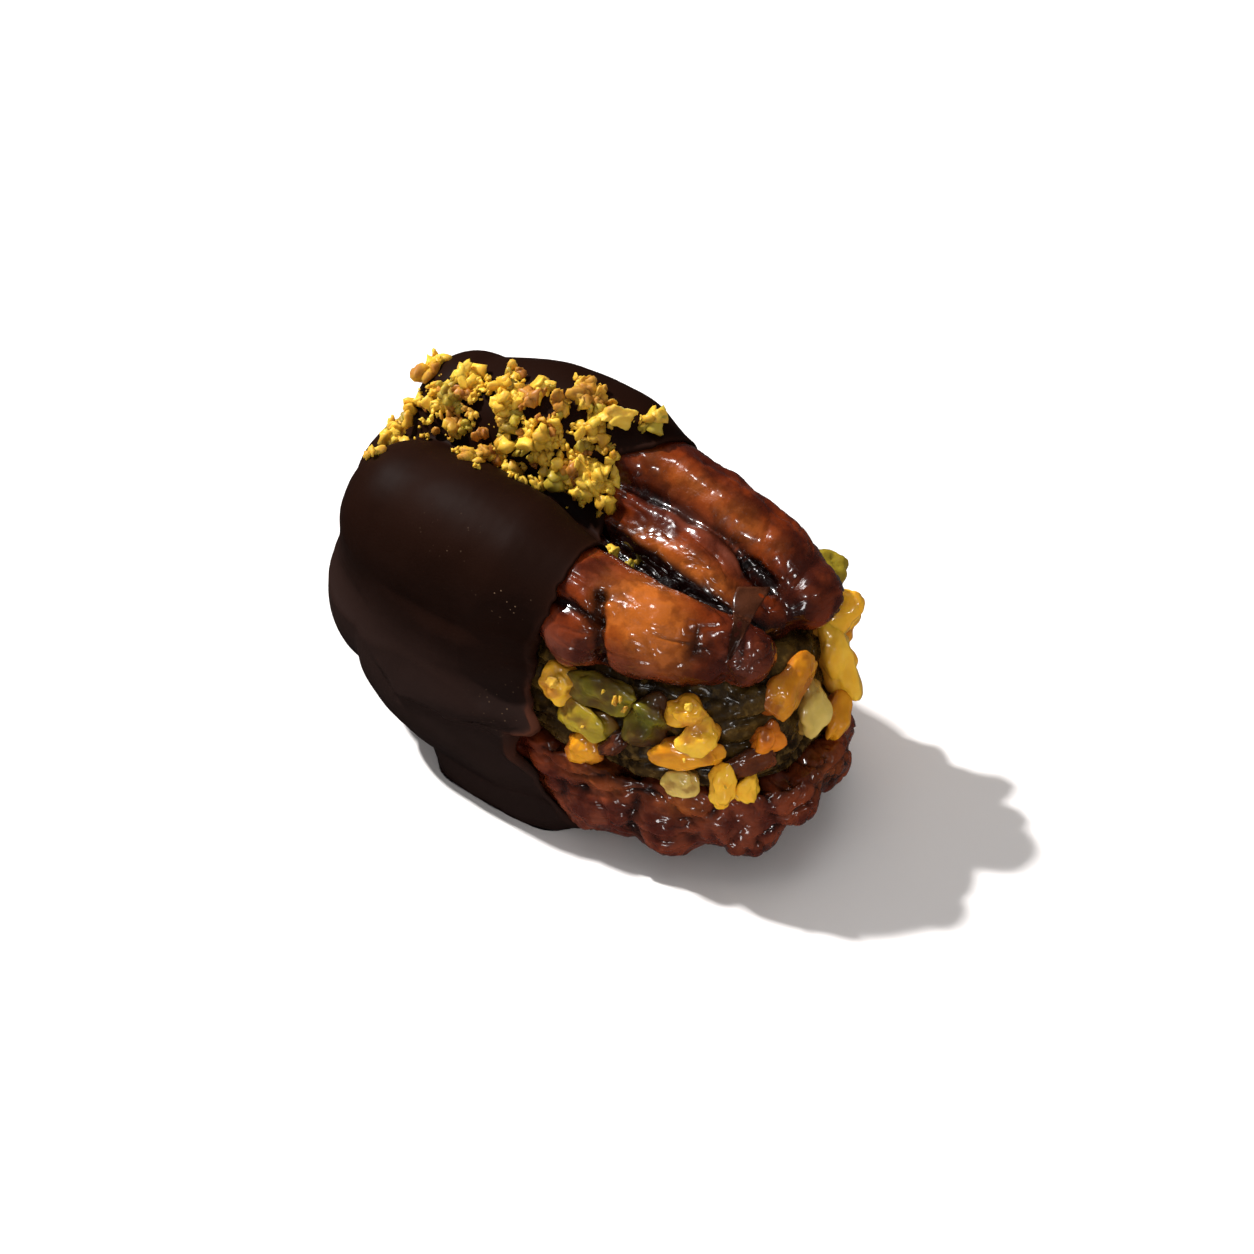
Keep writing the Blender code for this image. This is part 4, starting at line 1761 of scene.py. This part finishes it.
TOP_PECAN = PecanHalf(
    name="pecan_upper",
    node="pecan_top",
    ridges=(
        (
            Ridge(
                (
                    (-14.2, 3.7, 17.5, 3.2),
                    (-9.0, 4.4, 19.0, 3.5),
                    (-3.0, 5.4, 19.3, 3.0),
                    (1.0, 5.7, 19.2, 2.4),
                    (5.0, 5.75, 18.9, 2.35),
                    (8.5, 5.8, 18.0, 2.3),
                    (11.0, 5.8, 16.8, 2.5),
                    (12.6, 5.4, 15.8, 2.3),
                )
            ),
            0.6,
        ),
        (
            Ridge(
                (
                    (-12.4, -4.9, 15.9, 3.5),
                    (-8.0, -5.2, 16.9, 3.7),
                    (-2.0, -5.2, 17.1, 3.6),
                    (3.0, -5.0, 16.9, 3.4),
                    (6.5, -4.7, 16.7, 3.3),
                    (9.6, -3.7, 16.5, 3.0),
                    (11.6, -2.6, 16.1, 2.6),
                    (12.7, -1.5, 15.6, 2.1),
                )
            ),
            0.6,
        ),
        (
            Ridge(
                (
                    (-8.0, 1.4, 15.9, 0.9),
                    (-2.0, 1.9, 17.0, 1.1),
                    (1.5, 1.75, 17.3, 1.6),
                    (5.0, 1.6, 17.1, 2.1),
                    (8.0, 1.4, 16.5, 2.3),
                    (10.4, 0.9, 15.6, 2.1),
                )
            ),
            0.3,
        ),
        (
            Ridge(
                (
                    (-6.0, 2.0, 17.6, 0.7),
                    (-2.0, 2.2, 18.5, 0.9),
                    (1.5, 2.4, 18.6, 0.95),
                    (5.0, 2.6, 18.45, 1.0),
                    (8.0, 2.6, 17.8, 1.0),
                    (9.8, 2.2, 16.9, 0.9),
                )
            ),
            0.5,
        ),
    ),
    body_centre=(-2.6, 0.3, 14.8),
    body_size=(13.6, 7.8, 1.8),
    lobes=(
        (3.2, -7.4, 15.9, 1.9),
        (-0.5, 7.0, 15.6, 2.0),
        (5.5, 7.2, 15.6, 1.8),
        (9.5, 3.6, 16.0, 1.4),
        (11.3, 2.7, 15.2, 1.9),
    ),
    lobe_join=0.8,
    face_z=14.4,
    faces_down=True,
    wrap=Wrap((-11.0, 11.0), (0.0, 15.4), (20.0, 13.0, 12.0), 31, 4),
    creases=(
        Crease(((4.6, -6.4, 19.8), (5.5, -7.8, 18.4), (5.9, -8.2, 16.5), (5.8, -7.6, 14.8)), 0.40, 0.75),
        Crease(((5.3, -7.6, 18.6), (3.2, -7.5, 18.9), (1.0, -7.8, 18.6)), 0.40, 0.55),
        Crease(((4.6, -6.4, 19.8), (5.8, -5.3, 20.1), (6.1, -3.0, 19.6)), 0.55, 0.20),
        Crease(((10.6, -3.2, 19.4), (10.9, -4.2, 19.0), (11.4, -5.3, 17.3), (11.6, -5.2, 15.0)), 0.60, 0.10),
        Crease(((13.0, -1.4, 18.2), (13.4, -2.6, 17.4), (13.6, -3.0, 15.4)), 0.40, 0.22),
        Crease(((9.4, 3.2, 18.4), (10.9, 3.4, 17.5), (12.4, 3.0, 16.4)), 0.45, 0.40),
        Crease(((0.5, 7.6, 20.0), (4.0, 7.8, 19.9), (8.0, 7.9, 19.0), (11.0, 7.9, 17.8)), 0.35, 0.22),
        Crease(((1.5, 6.6, 21.2), (5.0, 6.8, 20.9), (9.0, 6.9, 20.0)), 0.30, 0.12),
    ),
    tan=(
        Zone((7.2, -5.6, 19.6), (2.4, 2.4, 2.0), 1.0),
        Zone((9.4, -6.0, 18.0), (1.8, 1.6, 2.0), 0.75),
        Zone((3.0, 4.5, 21.1), (4.0, 0.9, 1.2), 0.26),
        Zone((8.4, 4.5, 19.9), (2.6, 1.0, 1.4), 0.26),
        Zone((5.0, 0.2, 18.4), (3.6, 1.0, 1.2), 0.50),
        Zone((8.2, 0.2, 17.6), (1.8, 1.2, 1.2), 0.42),
    ),
    bloom_and_floor_sheen=(
        Zone((3.2, 3.0, 19.6), (3.6, 0.8, 0.9), 0.75),
        Zone((8.0, 2.6, 18.6), (2.2, 0.9, 1.0), 0.6),
        Zone((3.6, -5.0, 20.2), (1.5, 1.6, 1.2), 0.35),
        Zone((2.9, -8.8, 16.0), (2.0, 1.4, 1.6), 0.8),
        Zone((13.4, -2.6, 16.4), (1.8, 1.8, 2.0), 0.7),
        Zone((9.0, -7.4, 15.6), (3.6, 1.0, 1.2), 0.7),
        Zone((13.0, 5.0, 17.0), (1.6, 2.2, 1.6), 0.4),
    ),
    shade=(
        Zone((12.9, 4.6, 16.6), (2.2, 2.4, 2.2), 0.60),
        Zone((5.0, 8.0, 18.4), (7.0, 1.4, 2.4), 0.45),
        Zone((14.2, -1.4, 16.4), (1.8, 2.4, 2.4), 0.35),
        Zone((2.4, -7.2, 18.6), (1.6, 1.2, 1.2), 0.45),
    ),
)

BOTTOM_SIDE = (
    (-13.0, 5.4, 8.0, 3.2),
    (-11.5, 6.2, 6.8, 3.5),
    (-8.0, 6.7, 5.1, 3.6),
    (0.0, 6.6, 4.4, 3.6),
    (6.0, 6.3, 4.0, 3.6),
    (10.0, 5.4, 3.7, 3.5),
    (13.4, 3.8, 4.3, 3.2),
    (15.2, 2.3, 5.0, 2.7),
)

BOTTOM_PECAN = PecanHalf(
    name="pecan_lower",
    node="pecan_bottom",
    ridges=(
        (Ridge(BOTTOM_SIDE, mirror=-1.0), 1.2),
        (Ridge(BOTTOM_SIDE), 1.2),
        (
            Ridge(
                (
                    (-12.0, 0.0, 7.4, 3.0),
                    (-6.0, 0.0, 5.2, 3.2),
                    (2.0, 0.0, 4.3, 3.3),
                    (9.0, 0.0, 3.2, 3.3),
                    (13.5, 0.0, 4.6, 3.0),
                )
            ),
            0.8,
        ),
    ),
    body_centre=(0.9, 0.0, 6.4),
    body_size=(17.2, 10.0, 3.6),
    lobes=(
        (5.6, -7.8, 3.2, 2.4),
        (8.2, -7.5, 4.2, 2.0),
        (10.9, -6.8, 3.0, 2.3),
        (13.6, -5.2, 4.3, 2.0),
        (15.2, -4.0, 3.0, 2.0),
        (16.9, -1.4, 5.0, 1.8),
        (16.0, 2.4, 5.2, 2.0),
        (13.8, 5.6, 4.2, 2.3),
        (9.6, 7.4, 3.6, 2.5),
        (4.8, 8.0, 3.4, 2.5),
    ),
    lobe_join=1.0,
    face_z=7.2,
    faces_down=False,
    wrap=Wrap((-11.0, 12.5), (0.0, 6.3), (24.0, 15.0, 12.0), 31, 4),
    wrinkle=0.15,
    vein=0.26,
    pimple=0.045,
    seed=100.0,
    creases=(
        Crease(((9.0, -7.6, 7.2), (9.7, -9.0, 5.4), (9.3, -9.2, 3.6), (10.1, -9.2, 2.1)), 0.45, 0.40),
        Crease(((13.6, -5.0, 7.3), (14.3, -6.4, 6.2), (14.0, -6.7, 4.8), (15.0, -6.9, 3.1)), 0.45, 0.40),
        Crease(((16.0, -1.2, 7.4), (17.2, -2.2, 6.0), (16.9, -2.3, 4.8), (17.8, -2.4, 3.4)), 0.45, 0.35),
        Crease(((5.0, -8.6, 7.0), (5.9, -9.6, 5.4), (5.4, -9.6, 4.0), (6.0, -9.6, 2.4)), 0.45, 0.25),
    ),
    tan=(
        Zone((6.6, -9.0, 6.6), (2.6, 1.4, 1.0), 0.30),
        Zone((12.4, -7.4, 6.2), (1.8, 1.2, 1.0), 0.40),
        Zone((17.2, 1.0, 6.0), (1.4, 2.6, 1.4), 0.30),
    ),
    # These zones on the lower nut's front and underside are partly real bloom and partly a painted reflection
    # of the floor.
    bloom_and_floor_sheen=(
        Zone((8.0, -9.0, 3.0), (4.0, 3.0, 3.0), 0.40),
        Zone((15.0, -5.0, 4.0), (3.0, 3.0, 3.0), 0.35),
    ),
    shade=(
        Zone((8.0, -9.0, 7.2), (5.0, 2.0, 0.9), 0.45),
        Zone((15.6, -4.4, 7.4), (3.0, 3.4, 0.8), 0.35),
    ),
)

DATE_LAYER = DateLayer()

PISTACHIOS = (
    Pistachio((2.9, -9.1, 12.4), 2.6, 2.3, 70.0, NutKind.YELLOW),
    Pistachio((6.2, -8.6, 13.4), 4.8, 2.5, 8.0, NutKind.GREEN, 0.15),
    Pistachio((5.4, -9.4, 10.7), 3.6, 2.2, 4.0, NutKind.OLIVE, 0.15),
    Pistachio((9.8, -8.1, 12.2), 3.5, 3.0, 65.0, NutKind.GREEN, 0.25),
    Pistachio((5.4, -9.7, 8.0), 2.7, 2.3, 65.0, NutKind.AMBER),
    Pistachio((7.5, -9.2, 9.7), 2.3, 1.1, 50.0, NutKind.RUST),
    Pistachio((11.9, -6.6, 13.8), 2.5, 2.0, 0.0, NutKind.YELLOW),
    Pistachio((13.2, -7.0, 11.7), 3.0, 2.3, 62.0, NutKind.YELLOW, 0.12),
    Pistachio((12.4, -7.6, 10.6), 4.1, 1.9, 6.0, NutKind.AMBER),
    Pistachio((12.6, -8.0, 8.4), 2.3, 1.8, 10.0, NutKind.PALE),
    Pistachio((15.1, -6.4, 8.3), 3.4, 1.8, 85.0, NutKind.YELLOW, 0.2),
    Pistachio((16.2, -5.1, 7.4), 2.6, 1.5, 80.0, NutKind.YELLOW),
    Pistachio((16.4, -3.1, 11.0), 2.2, 2.0, 30.0, NutKind.ORANGE),
    Pistachio((16.1, 0.1, 13.4), 4.7, 2.9, 14.0, NutKind.AMBER, 0.2),
    Pistachio((15.7, 6.6, 10.8), 5.0, 3.3, 72.0, NutKind.YELLOW, 0.1),
    Pistachio((14.4, 8.8, 13.8), 3.1, 2.2, 75.0, NutKind.YELLOW),
    Pistachio((16.9, 1.6, 10.6), 3.2, 2.5, 60.0, NutKind.PALE),
    Pistachio((15.9, -4.7, 9.7), 3.3, 1.7, 5.0, NutKind.RUST),
    Pistachio((11.4, 10.2, 14.6), 2.8, 2.4, 40.0, NutKind.OLIVE),
    Pistachio((17.2, 4.0, 8.4), 3.2, 2.0, 15.0, NutKind.AMBER),
    Pistachio((14.0, 8.6, 8.2), 3.0, 2.2, 20.0, NutKind.YELLOW),
    Pistachio((12.2, 9.9, 11.0), 3.9, 2.4, 15.0, NutKind.AMBER),
    Pistachio((10.4, 10.2, 8.6), 2.9, 2.3, 60.0, NutKind.YELLOW),
    Pistachio((8.8, 10.4, 11.4), 3.3, 2.3, 80.0, NutKind.GREEN),
    Pistachio((7.4, 9.6, 13.4), 3.0, 2.0, 20.0, NutKind.YELLOW),
    Pistachio((6.0, 10.4, 9.0), 2.9, 2.1, 35.0, NutKind.AMBER),
    Pistachio((4.8, 9.9, 11.8), 2.9, 2.2, 55.0, NutKind.YELLOW),
)

DIP_EDGE = (
    (-180.0, 4.6),
    (-137.0, 4.6),
    (-128.0, 3.0),
    (-120.0, 2.0),
    (-114.0, 0.6),
    (-107.0, 0.0),
    (-105.0, 0.2),
    (-102.0, 1.9),
    (-100.0, 2.4),
    (-97.0, 1.4),
    (-92.0, 0.7),
    (-82.0, 0.5),
    (-68.0, 0.5),
    (-60.0, 1.2),
    (-55.0, 1.7),
    (-45.0, 2.0),
    (-31.0, 1.9),
    (-14.0, 1.0),
    (2.0, -1.0),
    (16.0, -2.2),
    (24.0, -0.3),
    (40.0, 1.0),
    (70.0, 0.4),
    (100.0, 1.6),
    (125.0, 2.4),
    (150.0, 3.8),
    (180.0, 4.6),
)

CLUMPS = (
    CrumbClump(-17.3, 3.0, 0.6, 5, 0.4),
    CrumbClump(-17.1, 0.6, 0.9, 6, 0.3),
    CrumbClump(-14.8, -0.3, 1.1, 9, 0.5),
    CrumbClump(-15.0, 0.9, 1.1, 9, 0.6),
    CrumbClump(-13.6, 1.3, 1.2, 10, 0.9),
    CrumbClump(-12.5, 1.9, 1.0, 8, 0.7),
    CrumbClump(-12.2, 0.6, 0.9, 7, 0.7),
    CrumbClump(-12.7, -0.3, 0.6, 4, 0.4),
    CrumbClump(-10.0, 1.1, 0.9, 7, 0.7),
    CrumbClump(-9.6, 2.2, 1.1, 9, 0.7),
    CrumbClump(-8.5, 1.4, 1.1, 9, 0.8),
    CrumbClump(-8.1, 3.0, 0.8, 6, 0.6),
    CrumbClump(-10.2, 3.4, 0.4, 2, 0.5),
    CrumbClump(-10.3, -2.1, 0.8, 6, 0.5),
    CrumbClump(-10.0, -0.5, 0.6, 4, 0.4),
    CrumbClump(-9.0, 0.4, 0.9, 7, 0.7),
    CrumbClump(-7.5, 0.7, 1.0, 8, 0.8),
    CrumbClump(-6.4, 1.4, 0.9, 7, 0.7),
    CrumbClump(-5.5, 1.4, 0.8, 6, 0.7),
    CrumbClump(-8.1, -0.1, 0.8, 6, 0.6),
    CrumbClump(-6.1, 0.6, 0.9, 7, 0.7),
    CrumbClump(-4.2, 1.4, 0.9, 8, 1.0),
    CrumbClump(-3.3, 1.8, 1.0, 9, 1.2),
    CrumbClump(-2.5, 2.4, 0.7, 5, 0.9),
    CrumbClump(-3.4, 1.0, 0.9, 6, 1.2),
    CrumbClump(-2.2, 1.0, 0.8, 6, 1.2),
    CrumbClump(-1.3, 1.4, 0.6, 4, 0.9),
    CrumbClump(-3.2, 0.5, 0.5, 2, 0.9),
    CrumbClump(-6.2, 4.8, 0.6, 5, 1.0),
    CrumbClump(-5.3, 4.1, 0.6, 4, 0.5),
    CrumbClump(-4.9, 5.3, 0.3, 2, 0.3),
    CrumbClump(-3.7, 4.3, 0.7, 6, 0.6),
    CrumbClump(-3.6, 3.3, 0.6, 4, 0.5),
    CrumbClump(-2.4, 3.2, 0.5, 3, 0.4),
    CrumbClump(-1.2, 5.8, 0.6, 4, 0.3),
    CrumbClump(-4.4, 2.9, 0.5, 3, 0.4),
    CrumbClump(-6.0, -1.9, 0.4, 2, 0.3),
    CrumbClump(-6.0, 3.0, 0.6, 3, 0.4),
    CrumbClump(-16.8, -1.5, 0.6, 4, 0.3),
    CrumbClump(-17.6, -1.1, 0.4, 3, 0.2),
    CrumbClump(-15.6, -5.1, 0.4, 2, 0.2),
    CrumbClump(-7.9, -3.5, 0.3, 1, 0.1),
    CrumbClump(2.4, -0.4, 0.5, 2, 0.2),
    CrumbClump(0.3, -0.3, 0.4, 1, 0.2),
)

NUGGETS = ((-2.6, 4.5, 2.9, 1.9), (-5.8, 4.8, 1.5, 1.2), (-3.0, 1.3, 2.4, 1.8))

STUCK_BITS = (
    (2.9, -9.25, 12.9, 0.50),
    (7.5, -8.50, 13.6, 0.42),
    (7.9, -8.40, 13.9, 0.22),
    (8.2, -8.30, 13.1, 0.30),
    (6.7, -8.65, 14.1, 0.18),
    (12.0, -6.55, 14.5, 0.40),
    (5.7, -9.55, 10.9, 0.18),
    (12.7, -7.70, 10.8, 0.18),
    (15.2, -6.50, 8.9, 0.18),
)

DIP_FLAPS = (Flap(-100.5, 4.5, 1.0, 1.2), Flap(-90.0, 5.0, 0.35, 0.8), Flap(-113.0, 4.0, 0.40, 0.8))

LAYER_LINE = (
    (-13.0, 9.4),
    (-10.5, 8.4),
    (-8.4, 6.8),
    (-5.0, 7.4),
    (-2.4, 7.4),
    (-0.5, 7.2),
    (1.5, 7.9),
    (3.0, 8.2),
)

DUSTY_SPOTS = (
    Zone((-0.8, -9.3, 18.2), (1.7, 1.2, 1.5), 1.2),
    Zone((-6.4, -8.5, 20.2), (1.6, 1.0, 1.2), 0.8),
    Zone((0.0, -10.6, 10.0), (1.6, 1.2, 2.0), 0.6),
)

UPPER_FINISH = PecanFinish()

# The lower nut's lighter, greyer wine and brown are partly a painted reflection of the floor.
LOWER_FINISH = PecanFinish(
    "glazed_pecan_low", wine=(0.075, 0.010, 0.0042), brown=(0.200, 0.036, 0.011), seed=7.0
)

SKIN_FINISH = PecanFinish(
    "nut_skin", wine=(0.026, 0.007, 0.003), brown=(0.060, 0.018, 0.007), gloss=0.3, seed=12.0
)

NUT_FINISHES = {
    NutKind.YELLOW: NutFinish(
        "nut_yellow",
        light=(0.95, 0.56, 0.045),
        dark=(0.82, 0.38, 0.014),
        skin=(0.50, 0.18, 0.014),
        skin_share=0.1,
    ),
    NutKind.GREEN: NutFinish(
        "nut_green",
        light=(0.27, 0.22, 0.012),
        dark=(0.040, 0.048, 0.004),
        skin=(0.075, 0.022, 0.007),
        skin_share=0.7,
        seed=2.0,
    ),
    NutKind.OLIVE: NutFinish(
        "nut_olive",
        light=(0.46, 0.33, 0.022),
        dark=(0.22, 0.155, 0.010),
        skin=(0.18, 0.07, 0.010),
        skin_share=0.3,
        seed=9.0,
    ),
    NutKind.AMBER: NutFinish(
        "nut_amber",
        light=(0.84, 0.38, 0.014),
        dark=(0.56, 0.19, 0.006),
        skin=(0.30, 0.07, 0.009),
        skin_share=0.2,
        seed=4.0,
    ),
    NutKind.ORANGE: NutFinish(
        "nut_orange",
        light=(0.84, 0.27, 0.012),
        dark=(0.60, 0.14, 0.007),
        skin=(0.28, 0.06, 0.007),
        skin_share=0.1,
        seed=5.0,
    ),
    NutKind.PALE: NutFinish(
        "nut_pale",
        light=(0.72, 0.52, 0.13),
        dark=(0.52, 0.34, 0.06),
        skin=(0.34, 0.17, 0.03),
        skin_share=0.1,
        seed=6.0,
    ),
    NutKind.RUST: NutFinish(
        "nut_rust",
        light=(0.18, 0.042, 0.009),
        dark=(0.07, 0.015, 0.005),
        skin=(0.04, 0.010, 0.004),
        skin_share=0.5,
        seed=8.0,
    ),
}

DRY = {"skin_share": 0.4, "rough": 0.40, "gloss": 0.0}

CRUMB_FINISHES = {
    CrumbKind.GOLD: NutFinish(
        "crumb_gold",
        light=(0.88, 0.56, 0.065),
        dark=(0.62, 0.33, 0.022),
        skin=(0.32, 0.11, 0.014),
        seed=3.0,
        **DRY,
    ),
    CrumbKind.OLIVE: NutFinish(
        "crumb_olive",
        light=(0.52, 0.38, 0.040),
        dark=(0.30, 0.20, 0.018),
        skin=(0.16, 0.07, 0.01),
        seed=5.0,
        **DRY,
    ),
    CrumbKind.BROWN: NutFinish(
        "crumb_brown",
        light=(0.56, 0.25, 0.034),
        dark=(0.30, 0.10, 0.014),
        skin=(0.12, 0.03, 0.007),
        seed=7.0,
        **DRY,
    ),
}


def dressed(finishes: dict[Enum, NutFinish], effects: SharedEffects) -> dict[Enum, bpy.types.Material]:
    """Builds a material for each colour.

    Args:
        finishes: The finish of each colour.
        effects: The shared node groups.

    Returns:
        The material of each colour.
    """
    return {kind: finish.material(effects) for kind, finish in finishes.items()}


def main() -> None:
    """Builds every piece in order and logs the face count of each."""
    logging.basicConfig(level=logging.INFO, format="%(name)s %(message)s")
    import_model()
    effects = SharedEffects()
    TOP_PECAN.build(UPPER_FINISH.material(effects))
    BOTTOM_PECAN.build(LOWER_FINISH.material(effects))
    DATE_LAYER.build(DateFinish().material(effects))
    PistachioRing(DATE_LAYER, PISTACHIOS).build(dressed(NUT_FINISHES, effects))
    core = Core(TOP_PECAN, BOTTOM_PECAN, DATE_LAYER)
    coat = ChocolateCoat(core, DIP_EDGE, DIP_FLAPS, LAYER_LINE, DUSTY_SPOTS)
    coat.build(ChocolateFinish().material(effects))
    Crumbs(coat, CLUMPS, NUGGETS, STUCK_BITS).build(dressed(CRUMB_FINISHES, effects))
    SkinFlake(TOP_PECAN).build(SKIN_FINISH.material(effects))
    Studio().build()
    LOG.info("sizes written")


if __name__ == "__main__":
    main()
